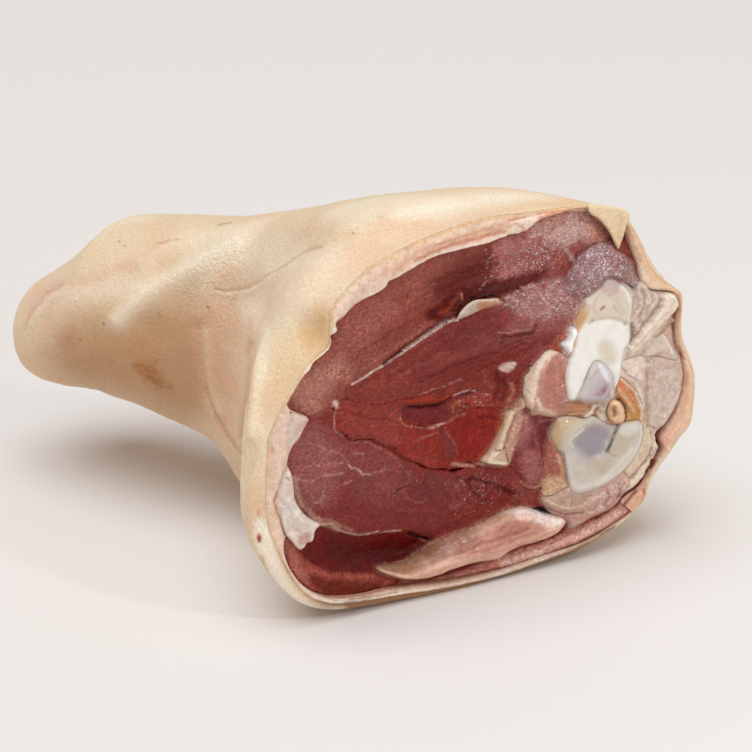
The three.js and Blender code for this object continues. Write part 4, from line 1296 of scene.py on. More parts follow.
SHIN_BONE = piece_of(
    "shin_bone_end", "shin_bone", "joint_cartilage",
    [(590, 366), (597, 358), (604, 360), (614, 374), (616, 390), (612, 400), (606, 405), (608, 412),
     (604, 424), (590, 426), (562, 424), (557, 410), (564, 404), (571, 401), (576, 396), (584, 380)],
    "c9bfbd", level=0.8, depth=7.5, look="cartilage", wet=0.8, grain=[(4.0, 0.12, 2)], edge=1.0, drop=0.1,
    marks=[
        area([(588, 373), (596, 363), (603, 364), (609, 373), (611, 386), (609, 397), (600, 401.5),
              (588, 401), (579, 399), (584, 386)], 3.5, 1.7, "c8bcba", 0.7),
        area([(600, 380), (609, 380), (609, 395), (600, 400), (586, 399), (592, 390)], 4.0, 0, "b7a5ae",
             0.6),
        # painted highlight on the top right of the dome
        area([(598.5, 365), (603, 365.5), (608, 373), (609.5, 382), (605.5, 379), (601, 373)], 1.6, 0.1,
             "eceaf0", 0.9),
        area([(594, 394), (600, 390), (605, 385), (608, 388), (604, 395), (598, 397.5)], 2.0, -0.15,
             "a37a83",
             0.75, wobble=0.6),
        line([(602.6, 392), (604.8, 389.8)], 1.0, -0.1, "872f30", 0.85),
        line([(604, 363), (610, 371), (612.5, 383), (611.5, 396)], 1.0, 0.4, "ece6e2", 0.8),
        area([(560, 403), (574, 400.5), (586, 402.2), (599, 401.8), (605, 404), (602, 412), (596, 418),
              (585, 420), (572, 423), (558, 424)], 2.4, -1.0, "a8683a", 0.92, wobble=1.2),
        line([(567, 404), (580, 406), (594, 403.6)], 1.1, 0.5, "c38b57", 0.8, wobble=1.0),
        line([(560, 411), (572, 409.6), (588, 409)], 1.3, 0.4, "c58c62", 0.8, wobble=1.2),
        line([(568, 416), (580, 413), (592, 412)], 1.2, 0.5, "cfa47c", 0.8, wobble=1.2),
        area([(556, 404), (566, 401), (572, 406), (564, 414), (556, 415)], 2.2, 0.2, "b98272", 0.7,
             wobble=1),
        line([(586, 417), (591, 413), (593.5, 407.5), (599, 405), (602, 410)], 1.4, 1.1, "e9dfd2", 0.9,
             wobble=0.6),
        area([(598, 405), (606, 400), (611, 402), (607, 410), (609, 418), (602, 420), (597, 414)], 1.8,
             0.7,
             "cbb7a2", 0.85, wobble=1.2),
    ])
LOWER_MENISCUS = piece_of(
    "lower_meniscus_body", "lower_meniscus", "meniscus",
    [(556.8, 419.5), (566, 417), (577, 417.5), (584, 419.5), (592.6, 416), (602, 421), (609, 423.5),
     (617.5, 424), (624.1, 422.6), (639.8, 420.8), (643.2, 429.8), (642.4, 441.4), (637.4, 454.6),
     (627.5, 467.9), (612.5, 481.2), (596, 489.5), (582, 493.8), (573, 492.8), (567.6, 484.8),
     (565.4, 468.2), (563.9, 455), (557.1, 449.8), (552.2, 441.4), (550.4, 433.4), (553.6, 424.4)],
    "c8beb2", level=1.9, proud=0.3, depth=7.0, look="cartilage", wet=0.8, grain=[(4.0, 0.2, 2)], edge=2.0,
    marks=[
        area([(551, 440), (551, 430), (556, 419), (574, 417), (578, 421), (570, 429), (564, 437),
              (561, 447), (556, 449)], 4.5, 0.2, "bd9a66", 0.8, wobble=1.0),
        area([(572, 420), (590, 416), (604, 421), (592, 426), (580, 430), (567, 439), (563, 434)], 3.5,
             0.3,
             "c9bda9", 0.7, wobble=1.0),
        area([(582, 431), (592, 424.5), (604, 424), (610, 430), (607.5, 445), (601, 455), (588, 459),
              (577, 452), (573, 444), (576, 437)], 5.5, -0.9, "968a94", 0.9, wobble=0.6),
        area([(574, 447), (584, 452), (592, 462), (580, 466), (570, 456)], 5.0, -0.1, "bdb3b4", 0.5),
        line([(583, 430), (577, 435), (570, 441), (572.5, 447)], 1.2, 0.4, "ddd3c8", 0.7, wobble=0.5),
        area([(618, 433), (632, 432), (632, 445), (623, 455), (611, 457), (612, 446)], 4.0, -0.2,
             "c0ae94",
             0.65),
        area([(588, 462), (604, 457), (614, 462), (605, 475), (592, 476)], 5.0, -0.1, "bda994", 0.6,
             wobble=1.0),
        area([(621, 424), (637, 423), (639, 431), (627, 437), (619, 433)], 3.0, 0.25, "dad4ca", 0.75),
        # the slit, painted near black as the shade inside it
        line([(618.6, 422.4), (614.6, 432), (610.8, 442), (607.4, 451)], 1.8, -1.0, "1c110c", 1.0),
        line([(616, 424), (611.6, 436), (606, 447)], 1.6, 0.15, "c8b9ab", 0.55),
        line([(608, 452), (611, 455), (616, 455.5)], 1.0, -0.3, "a8977f", 0.6, wobble=0.6),
        line([(567, 458), (569, 474), (575, 487), (588, 487), (606, 478), (622, 464), (633, 450)],
             3.6, 0.35, "d8cec4", 0.8),
        line([(641.5, 424), (641.6, 435), (637.5, 448), (629, 462), (615, 475), (597, 486)], 1.2, 0.2,
             "e6ded2", 0.7),
    ])
CARTILAGE_CHIP = piece_of(
    "cartilage_chip_body", "cartilage_chip", "meniscus",
    [(562.4, 347), (561.6, 343.6), (565.4, 340), (568, 335), (570, 329), (573.6, 325.8), (576, 329),
     (575, 336.4), (572.8, 343.3), (571.4, 350.6), (568.8, 354.6), (565.6, 352.8), (564, 349)],
    "ffffff", level=2.4, proud=1.2, depth=4.0, look="cartilage", wet=0.7, edge=0.8,
    marks=[line([(571.6, 330), (569, 336), (565, 341.6)], 0.9, 0.1, "d9b994", 0.6)])
JOINT_LINING = piece_of(
    "joint_lining_body", "joint_lining", "joint_lining",
    [(608, 396), (612, 386), (615, 380), (620, 377), (628, 383), (636, 392), (642, 405), (645, 416),
     (642, 426), (625.8, 428), (610, 428), (600, 422), (602, 408)],
    "cf9560", level=1.2, depth=6.0, look="fat", wet=0.75, grain=[(2.4, 0.25, 2)], drop=0.1,
    marks=[
        area([(613.5, 390), (617, 381), (621.5, 379), (627, 386), (623, 395), (618, 396)], 1.8, 0.4,
             "d8743c",
             0.85, wobble=0.8),
        area([(626, 391), (633, 392), (638, 401), (632, 403), (628, 398)], 1.8, 0.2, "c4692c", 0.8,
             wobble=0.8),
        area([(624, 411), (634, 406), (641, 411), (640, 421), (625, 422)], 2.4, -0.3, "b47f30", 0.85,
             wobble=1.0),
        line([(619, 390), (624, 398), (630, 405), (634, 412)], 1.7, 0.45, "dcae80", 0.8, wobble=1.0),
        line([(622, 379), (630, 386), (637, 396), (642, 409), (641, 420)], 1.3, 0.5, "e6d8be", 0.8,
             wobble=0.8),
        # dark lines beside the fragment: painted shadow
        line([(616, 398), (621, 401), (625, 408), (625.5, 415), (624, 422)], 1.2, -1.8, "2c150a", 0.95),
        line([(612, 391), (612.5, 396), (608, 404), (606.5, 412)], 1.0, -1.2, "4a2412", 0.85),
        area([(611, 384), (616, 388), (615, 396), (611, 399), (607, 397)], 1.4, 0.6, "e2cfb6", 0.85,
             wobble=0.6),
    ])
TENDON_FLAP = piece_of(
    "tendon_flap_body", "tendon_flap", "tendon",
    [(450, 538.5), (469.9, 532), (486.5, 524), (503.1, 515.5), (519.7, 509.5), (527.9, 508.7),
     (536.2, 511), (549.5, 515.6), (564.4, 518.3), (566.1, 524.9), (559.5, 532.6), (549.5, 539.2),
     (532.9, 544.2), (513, 550.8), (496.4, 560.8), (474.9, 564.1), (450, 572), (431.4, 578.6),
     (416.7, 580.8), (402.1, 580), (390.3, 577.1), (379.3, 571.9), (379.3, 569.7), (384.5, 567.5),
     (397.7, 565.5), (409.4, 562), (421.1, 554), (431.4, 547), (441, 542)],
    "e0b49e", level=-1.6, proud=3.6, look="tendon", wet=0.5,
    grain=[(3.0, 0.22, 2), (0.8, 0.08, 2)], edge=3.6,
    marks=[
        area([(379, 570), (400, 562), (420, 548), (440, 541), (446, 552), (424, 570), (402, 580),
              (385, 576)], 7, 0, "9c6c4c", 0.8, wobble=1.5),
        area([(476, 532), (505, 520), (532, 518), (546, 528), (530, 540), (500, 552), (470, 558),
              (452, 552)], 6, -0.1, "b4705c", 0.7, wobble=2),
        line([(386, 569), (405, 565), (425, 555), (445, 544), (470, 535), (492, 525), (513, 514)],
             2.4, 0.5, "c09672", 0.65, wobble=1.0),
        line([(398, 575), (424, 573), (448, 566), (474, 558), (498, 551), (528, 540), (552, 531)], 2.2,
             0.3,
             "cc9b84", 0.7, wobble=1.0),
        line([(404, 571), (430, 564), (456, 554), (480, 545), (504, 537), (530, 529)], 1.6, -0.35,
             "a5604f", 0.5, wobble=1.2),
        line([(430, 556), (456, 546), (484, 536), (510, 526)], 1.0, -0.25, "a8665a", 0.45, wobble=1.2),
        line([(470, 552), (496, 545), (522, 535), (545, 527)], 0.9, 0.25, "c89784", 0.5, wobble=1.0),
        line([(470, 530), (490, 521), (508, 512.5), (524, 510)], 1.5, 0.4, "dfc5ae", 0.7, wobble=0.8),
        # pale wet patch at the right end, partly painted sheen
        area([(500, 512), (528, 507), (548, 515), (563, 519), (558, 528), (535, 523), (515, 518)], 3.2,
             0.1,
             "e0bfb0", 0.75, wobble=1.5, wet=0.5),
        # painted shade on the flap's upper part
        area([(424, 550), (448, 540), (472, 532), (480, 540), (458, 552), (432, 562)], 5, 0, "8c5644",
             0.7,
             wobble=1),
        area([(498, 524), (516, 520), (528, 528), (514, 538), (494, 540)], 5, 0, "ab6856", 0.55,
             wobble=2),
        # painted highlights on the wet right end
        area([(527, 508), (540, 511), (556, 516), (564, 519), (559, 525), (546, 521), (530, 514)], 1.5, 0,
             "f6eae6", 0.75, wobble=3),
        area([(512, 510), (524, 507.5), (528, 511), (518, 514)], 1.5, 0, "f0e0da", 0.6, wobble=2),
        line([(381, 571), (392, 574), (404, 577.5), (418, 578)], 1.2, 0.3, "e0c4a4", 0.8, wobble=0.5),
    ])
FAT_PAD = piece_of(
    "fat_pad_body", "fat_pad", "soft_fat",
    [(618, 352), (633, 345), (645, 346), (655, 348), (664, 348), (672, 353), (681, 356), (685.5, 375),
     (684, 385), (680.5, 399.9), (672.2, 418.1), (657.3, 438), (660.6, 444.7), (661.4, 451.3),
     (654, 461.3), (647.3, 472.9), (640.7, 482.8), (632, 489), (624, 494.4), (604, 484), (612, 470),
     (628, 456), (632, 440), (630, 424), (622, 406), (612, 390), (610, 376)],
    "cdb5a1", level=1.6, look="fat", wet=0.6, grain=[(3.4, 0.4, 3), (1.0, 0.12, 2)],
    marks=[
        area([(647, 362), (656, 356), (666, 354), (676, 357), (683, 368), (685, 384), (681, 400),
              (672, 414),
              (661, 428), (651, 426), (646, 408), (645, 384)], 2.6, 0.8, "c6a99a", 0.8, wobble=1,
             wet=0.3),
        area([(648, 404), (668, 400), (674, 408), (662, 424), (652, 428)], 5, 0, "ccb7a6", 0.6, wobble=1,
             wet=0.2),
        area([(652, 370), (668, 366), (676, 384), (668, 404), (654, 402)], 6, 0, "cdb9ab", 0.4, wobble=3,
             wet=0.2),
        line([(646, 363), (654, 356.5), (665, 353.5), (676, 356)], 1.1, -0.5, "94705f", 0.65, wobble=0.6),
        line([(677, 357), (684, 369), (686, 383), (683.5, 397), (676, 411), (664, 427)], 1.4, 0.3,
             "dfcebb",
             0.7, wobble=0.8),
        line([(633, 377), (639, 390), (643, 404), (643.4, 420), (642.6, 432), (640, 444)], 1.3, 0.8,
             "ece3d6", 0.85, wobble=0.6, wet=0.3),
        line([(646, 368), (646.4, 386), (646, 404), (647, 428)], 1.3, -0.5, "a78a76", 0.6, wobble=0.8),
        area([(620, 364), (630, 352), (640, 354), (646, 362), (643, 378), (634, 380), (624, 378)], 3.0,
             0.3,
             "e6d2c4", 0.8, wobble=1.5, wet=0.2),
        line([(622, 368), (629, 376), (636, 380)], 1.2, -0.5, "b0725a", 0.7, wobble=0.8),
        area([(643, 430), (650, 430), (651, 446), (643, 460), (630, 474), (616, 484), (612, 478),
              (630, 464), (641, 448)], 2.0, 0.3, "dcc2a6", 0.8, wobble=0.8),
        line([(651, 432), (652, 446), (645, 461), (632, 476), (618, 487)], 1.0, -0.6, "8f6a52", 0.65,
             wobble=0.8),
        area([(653, 436), (659, 440), (661, 450), (652, 463), (643, 478), (634, 488), (626, 488),
              (640, 470), (651, 452)], 1.8, 0.6, "e6d2ba", 0.85, wobble=1),
        line([(656, 448), (650, 458), (652, 464)], 0.9, -0.5, "9c7460", 0.6, wobble=0.8),
        line([(653.5, 427.2), (654.4, 428)], 0.9, -0.1, "54382a", 0.85),
    ])
JOINT_CAPSULE = piece_of(
    "joint_capsule_body", "joint_capsule", "soft_fat",
    [(614, 290), (624, 282), (630, 285), (634, 287), (638, 281), (641, 280), (650, 290.8), (668, 292),
     (677, 299), (681, 310), (677, 318), (677, 340), (682, 359), (672, 360), (655, 356), (640, 356),
     (616, 362), (614, 340), (612, 320)],
    "d2bcab", level=1.4, look="fat", wet=0.6, grain=[(3.0, 0.35, 3), (1.0, 0.12, 2)],
    marks=[
        area([(634, 287), (648, 289), (660, 296), (654, 310), (642, 323), (634, 334), (632, 310)], 3,
             -0.2,
             "bfa494", 0.75, wobble=2, wet=0.5),
        line([(638, 290), (641, 304), (637, 318), (636, 330)], 1.1, 0.5, "ddccc0", 0.7, wobble=1.2),
        line([(646, 289), (650, 299), (644, 312), (641, 320)], 1.1, 0.5, "dccabd", 0.7, wobble=1.2),
        line([(655, 293), (657, 300), (651, 309)], 1.0, 0.4, "e2d2c4", 0.7, wobble=1.0),
        line([(642, 290), (645, 302), (640, 316)], 1.0, -0.5, "94705e", 0.6, wobble=1.2),
        # dark line in the groove above the finger: painted shade
        line([(662, 298), (655, 310), (644, 324), (635, 337)], 1.4, -0.7, "967260", 0.7, wobble=0.8),
        area([(668, 293), (677, 297), (680, 306), (674, 315), (662, 327), (650, 339), (640, 351),
              (630, 355), (629, 346), (640, 333), (652, 320), (661, 307), (663, 297)], 2.0, 1.6, "e2d0ba",
             0.92, wobble=0.8, wet=0.1),
        # painted highlight along the finger
        line([(673, 301), (664, 312), (650, 327), (637, 342)], 1.5, 0.3, "e6d9c6", 0.7, wobble=0.5),
        area([(668, 319), (680, 312), (682, 332), (682, 350), (673, 350), (666, 341), (659, 333)], 3,
             -0.3,
             "c6a08e", 0.75, wobble=1),
        # dark line in the groove under the finger: painted shade
        line([(679, 312), (668, 325), (655, 338), (643, 352)], 1.2, -0.8, "93705c", 0.65, wobble=0.6),
        area([(645, 345), (654, 338), (663, 334.5), (668, 341), (674, 355), (664, 352.5), (652, 356),
              (643, 358)], 1.4, 0.7, "d3c1af", 0.85, wobble=0.6),
        line([(662, 334.5), (667.5, 341), (670, 347), (673.5, 354)], 0.9, 0.4, "f2eade", 0.85,
             wobble=0.4),
        line([(631.3, 324), (632, 333), (631.2, 344)], 1.3, -1.0, "5e3f2a", 0.85, wobble=0.4),
        line([(635, 326), (636, 336), (635, 345)], 1.3, 0.2, "b58e68", 0.7, wobble=1.0),
        # painted glint on the knob at the finger's top
        line([(670, 295), (676, 299), (678, 305)], 1.3, 0.3, "f2eadf", 0.8, wobble=0.6, wet=0.2),
    ])
LOWER_CAPSULE = piece_of(
    "lower_capsule_body", "lower_capsule", "silverskin",
    [(541, 497), (552, 493), (562, 487), (572, 484), (590, 480), (606, 472), (618, 468), (627, 475),
     (629, 485), (623, 494), (619.2, 502.7), (615, 508), (600, 516), (585, 524), (570, 530), (564.4, 520),
     (552, 514), (543, 505)],
    "c29a8a", level=1.7, look="fat", wet=0.7, grain=[(2.2, 0.4, 2), (0.9, 0.1, 2)],
    marks=[
        area([(544, 490), (562, 490), (572, 494), (590, 493), (597, 498), (584, 507), (566, 510),
              (549, 504),
              (541, 495)], 5.0, 0.3, "b3907a", 0.85, wobble=1.5),
        line([(545, 500), (556, 505.5), (570, 508.5), (586, 505), (598, 498)], 1.5, 0.8, "d2b898", 0.85,
             wobble=1, wet=0.2),
        line([(547, 508), (566, 514), (586, 511), (604, 503), (617, 496)], 1.4, -0.7, "8a5546", 0.6,
             wobble=1),
        area([(594, 493), (612, 483), (626, 476), (638, 478), (630, 494), (612, 506), (596, 514),
              (584, 512)], 3, 0.3, "c59c8c", 0.75, wobble=2, wet=0.3),
        line([(596, 511), (601, 501), (600, 493)], 1.3, 0.7, "c9a291", 0.75, wobble=1),
        line([(609, 504), (614, 494), (612, 486)], 1.3, 0.7, "caa494", 0.75, wobble=1),
        line([(620, 497), (626, 488), (625, 480)], 1.3, 0.6, "d0ae9c", 0.75, wobble=1),
        line([(604, 506), (608, 496), (606, 489)], 1.0, -0.5, "93604f", 0.6, wobble=1),
        line([(616, 499), (620, 490), (619, 483)], 1.0, -0.5, "93604f", 0.6, wobble=1),
        line([(566, 518), (584, 517), (602, 510), (618, 500)], 1.8, 0.4, "ba8373", 0.7, wobble=1.5),
    ])
TENDON_BAND = piece_of(
    "tendon_band_body", "tendon_band", "tendon",
    [(521.3, 380), (521, 393.3), (524.6, 404.9), (530.3, 409.9), (533.2, 416.5), (537, 413), (543, 416),
     (556.1, 416.8), (563, 411), (568, 402), (570, 390), (569, 374), (568, 360), (562, 353), (556, 351),
     (548, 350), (535, 360), (525, 371)],
    "bd8676", level=0.8, proud=0.5, look="tendon", wet=0.6, grain=[(2.6, 0.3, 2), (0.8, 0.08, 2)], edge=1.6,
    marks=[
        area([(550, 349), (557, 352), (548, 362), (541, 372), (537, 386), (538, 398), (544, 410),
              (536, 417), (528, 409), (522, 398), (520, 384), (526, 370), (536, 357)], 2.6, 0.6, "e8d0bc",
             0.9, wobble=1.5),
        area([(553, 356), (562, 359), (567, 374), (567, 394), (561, 407), (551, 411), (545, 400),
              (543, 384), (548, 368)], 3.4, -0.4, "b26c5d", 0.85, wobble=1.2),
        line([(549, 351), (538, 359.5), (528, 371), (523, 385), (525.5, 399), (532, 409)], 1.5, 0.5,
             "ead8c6", 0.85, wobble=1.0),
        line([(546, 361), (541, 374), (540, 388), (543, 400)], 1.3, -0.4, "b98c78", 0.6, wobble=1),
        line([(556, 362), (558, 378), (557, 394)], 2.0, 0.25, "bd8475", 0.6, wobble=1.2),
        line([(562, 358), (566, 372), (566, 390), (562, 404)], 1.6, 0.2, "c08d7d", 0.5, wobble=1),
        area([(524, 396), (535, 401), (544, 409), (555, 412), (555, 418), (540, 418), (531, 416)], 1.8,
             0.4,
             "ceac95", 0.8, wobble=2),
        line([(533.4, 414), (536, 406), (535, 399)], 0.9, -0.6, "8a5240", 0.7, wobble=0.5),
    ])
KNEE_MUSCLE = piece_of(
    "knee_muscle_body", "knee_muscle", "silverskin",
    [(518, 402), (531, 407), (536, 412), (543, 412), (560, 410), (566, 414), (564, 426), (562, 440),
     (568, 452), (572, 468), (572, 486), (562, 502), (548, 504), (541, 494), (540.4, 486.1), (533, 489.5),
     (526.3, 489), (520, 476), (508, 464), (503, 452), (505, 440), (510, 426)],
    "763636", level=None, look="meat", wet=0.5, grain=[(3.0, 0.14, 2), (0.9, 0.05, 2)],
    marks=[
        # painted sheen on the silverskin
        area([(515, 420), (526, 412), (533, 422), (530, 440), (520, 450), (511, 438)], 6, 0.35, "a66c68",
             0.75, wobble=1.5),
        area([(521, 456), (534, 450), (541, 462), (541, 478), (532, 487), (524, 477)], 5, 0.35, "a36862",
             0.7,
             wobble=1.5),
        area([(508, 414), (520, 407), (525, 416), (519, 434), (513, 450), (511, 462), (504, 463),
              (506, 440),
              (509, 426)], 2.5, 0.3, "cba48f", 0.75, wobble=2.5),
        line([(538, 418), (535, 434), (538, 450), (543, 468)], 2.4, 0.3, "8d5658", 0.6, wobble=1.2),
        line([(548, 420), (544, 436), (544, 452), (546, 470)], 3.0, -0.5, "6a2a2b", 0.7, wobble=1),
        area([(545, 440), (552, 438), (557, 449), (562, 464), (563, 482), (554, 492), (544, 488),
              (544, 466)],
             3.5, 0.5, "ad6e5e", 0.8, wobble=1.5),
        area([(541, 484), (550, 478), (564, 480), (568, 496), (560, 504), (545, 503)], 4.5, 0.5, "ceab8c",
             0.85, wobble=1.5),
        line([(558, 456), (562, 468), (563, 486)], 3.0, 0.5, "cda488", 0.7, wobble=1.0),
        line([(521, 481), (529, 488), (539, 487)], 1.3, 0.4, "b98a7e", 0.65, wobble=0.6),
        line([(540, 421), (552, 419), (560, 422)], 1.6, 0.4, "a06a62", 0.7, wobble=1.0),
    ])
BAND_STRIP = piece_of(
    "tendon_band_strip", "tendon_band", "tendon",
    [(526, 406), (524, 397), (519, 401), (513.7, 408.2), (505.4, 411.2), (501.7, 423.1), (495.1, 437),
     (488.8, 450.3), (480, 461.3), (488.1, 464.2), (503, 466.6), (510.4, 465.3), (507.4, 453),
     (507.4, 441.4), (512.4, 427), (519, 416)],
    "c7a687", level=-0.6, proud=0.9, look="tendon", wet=0.6, grain=[(2.6, 0.3, 2)], edge=1.2,
    marks=[
        line([(504, 412), (499, 426), (493, 440), (486, 452)], 2.0, -0.1, "c08a66", 0.6, wobble=0.8),
        line([(516, 409), (508, 422), (503, 438), (498, 452), (490, 460)], 1.8, 0.5, "e0cdae", 0.8,
             wobble=0.8),
        line([(521, 404), (513, 420), (508, 436), (507, 447)], 1.6, -0.4, "ad7a68", 0.8, wobble=1.4),
        line([(495, 450.6), (502, 449.8), (507, 444)], 0.8, -0.8, "3f2018", 0.9, wobble=0.5),
        line([(489, 462), (499, 463.5), (508, 464)], 1.5, 0.4, "efe6d4", 0.8, wobble=0.8),
        line([(505, 453), (509, 460), (508, 464)], 1.6, -0.1, "c39a6c", 0.7, wobble=0.8),
    ])
MIDDLE_MUSCLE = piece_of(
    "middle_muscle_body", "middle_muscle", "muscle",
    [(350, 400), (345, 392), (350, 385), (355.7, 380.2), (362.4, 378.8), (369.1, 374.1), (377.1, 368.1),
     (390.5, 359.4), (403.9, 350.7), (417.3, 341.3), (428, 334.6), (437.4, 327.9), (445.4, 322.6),
     (452.1, 319.9), (457, 317), (464, 308), (473, 302), (482, 299.6), (491.5, 299), (499.6, 301.1),
     (507.6, 297.1), (517, 289.8), (525, 288.4), (535.7, 283.7), (543.7, 281.1), (551.8, 277),
     (561.1, 270.4), (570.5, 262), (578.6, 253), (587.9, 246), (597.3, 242), (605.4, 240.9),
     (613.4, 246.2), (622.8, 252), (640, 262), (646, 285), (640, 296), (624, 296), (616, 300), (600, 306),
     (592, 316), (586, 326), (580, 340), (576, 356), (572, 372), (562, 364), (553, 362), (545, 362),
     (530, 366), (515, 366), (507.6, 369.5), (495, 363), (480, 370), (460, 380), (440, 388), (420, 396),
     (400, 400), (380, 405)],
    "7f3935", look="meat", wet=0.45, grain=FIBRES,
    marks=[
        # mauve sheen of the upper right, redder lower left
        area([(470, 320), (500, 305), (530, 290), (560, 275), (582, 290), (574, 318), (562, 336),
              (540, 350),
              (510, 350), (480, 345)], 12, 0.2, "9c6562", 0.6, wobble=3),
        area([(505, 300), (540, 284), (566, 280), (584, 292), (578, 312), (556, 318), (530, 318)], 7, 0.2,
             "a87a76", 0.6, wobble=4, wet=0.35),
        area([(460, 320), (500, 308), (514, 322), (500, 330), (470, 330)], 6, 0.1, "7c2c27", 0.7,
             wobble=2),
        area([(345, 392), (360, 382), (380, 370), (400, 362), (420, 360), (400, 380), (370, 396)], 8, 0.0,
             "91483b", 0.5, wobble=2),
        area([(420, 352), (450, 336), (478, 330), (500, 336), (480, 352), (446, 364), (424, 366)], 8, 0.1,
             "8f4440", 0.6, wobble=3),
        area([(424, 380), (446, 368), (476, 356), (504, 344), (530, 334), (552, 330), (556, 344),
              (530, 354), (500, 362), (470, 372), (440, 384)], 7, -0.2, "7a332e", 0.7, wobble=3),
        area([(566.5, 286), (567.9, 275), (574.5, 265), (579, 255), (588, 247), (597, 243), (606, 242),
              (614, 247), (624, 255), (633, 264), (637, 274), (639, 285), (633.5, 290), (628, 285),
              (620, 279), (612, 277), (605, 281), (598, 290), (590.6, 295), (578.6, 297), (570.5, 293)],
             3.0, 1.5, "93706e", 0.9, wobble=1, wet=0.5),
        area([(580, 262), (594, 252), (608, 254), (610, 268), (600, 280), (584, 284), (576, 276)], 6, 0.2,
             "9a7a7c", 0.45, wobble=4, wet=0.2),
        area([(612, 254), (624, 262), (630, 274), (620, 272), (613, 264)], 4, -0.2, "8c5f5c", 0.6,
             wobble=2),
        area([(384, 378), (410, 358), (438, 340), (462, 326), (500, 324), (504, 340), (470, 348),
              (440, 360),
              (410, 374)], 8, 0, "632824", 0.55, wobble=3),
        # bright rim along the upper edge
        line([(352, 384.5), (364, 377.5), (378, 368), (400, 354.4), (414.4, 344), (428.7, 334.4),
              (438.3, 327.8), (449.8, 321.2), (457.4, 319.6)], 0.9, 0.5, "f2d8cc", 0.9, wobble=0.3),
        line([(356, 389), (378, 375.5), (404, 359), (430, 343), (452, 331)], 2.0, -0.2, "78302a", 0.5,
             wobble=1.0),
        line([(505, 299), (510, 296.2), (517.7, 291.4), (524.4, 288.8), (534, 285.4), (543.5, 281.9)],
             0.7, 0.3, "ddb9ac", 0.8, wobble=0.4),
        # torn step over the lower half
        line([(500, 333), (508, 333.6), (514, 331.6), (521, 331), (529.2, 329.6), (533, 323),
              (536.8, 319)],
             0.6, 0.4, "c58f82", 0.7, wobble=1.2),
        line([(502, 337), (514, 335.2), (523, 334.4), (531.4, 332.6), (536, 325.6)], 1.5, -0.9, "64231f",
             0.75, wobble=0.6),
        # painted glints on the wet surface
        line([(541, 294), (543, 300), (548, 305), (556, 309), (564, 310.6)], 0.8, 0.3, "c9b2b2", 0.5,
             wobble=2.0, wet=0.5),
        line([(546, 290), (549, 297), (556, 302), (565, 304)], 0.8, 0.2, "bfa3a3", 0.4, wobble=2.0,
             wet=0.5),
        line([(505, 303.4), (510, 305), (515, 308)], 0.8, 0.3, "cdbaba", 0.6, wobble=1.0, wet=0.5),
        line([(501, 349), (512, 343), (524, 339), (534, 337)], 0.8, -0.3, "5e2424", 0.5, wobble=0.8),
        line([(504, 354), (516, 347.5), (530, 343.5)], 0.8, -0.3, "5e2424", 0.5, wobble=0.8),
        line([(500, 344), (512, 338.6), (522, 336.6)], 0.7, -0.3, "5e2626", 0.5, wobble=0.8),
        line([(508, 358.5), (520, 352), (534, 347.5)], 0.7, -0.25, "5e2424", 0.5, wobble=0.8),
        # orange tissue that runs down beside the joint
        line([(588, 299), (583, 306), (577, 316), (572, 326), (566, 335), (559, 343)], 1.6, 0.4, "c3957f",
             0.7, wobble=0.8),
        line([(582, 301), (576, 311), (570, 322), (562, 333), (553, 343)], 1.0, 0.3, "bd8573", 0.55,
             wobble=1.0),
        area([(548, 350), (554, 342), (562, 334), (567, 330), (567, 338), (563, 350), (556, 353)], 2.2,
             0.3,
             "a54a2c", 0.6, wobble=0.8),
        line([(574, 305), (580, 300), (586, 296)], 1.2, -0.4, "7c4b4c", 0.6, wobble=1),
        line([(480, 318), (505, 310), (525, 300)], 1.6, -0.4, "733633", 0.45, wobble=2),
        line([(400, 376), (425, 364), (450, 352)], 2.0, 0.3, "914b44", 0.5, wobble=2),
        line([(420, 382), (446, 370), (474, 358), (498, 352)], 1.6, -0.5, "642a27", 0.5, wobble=1.5),
    ])
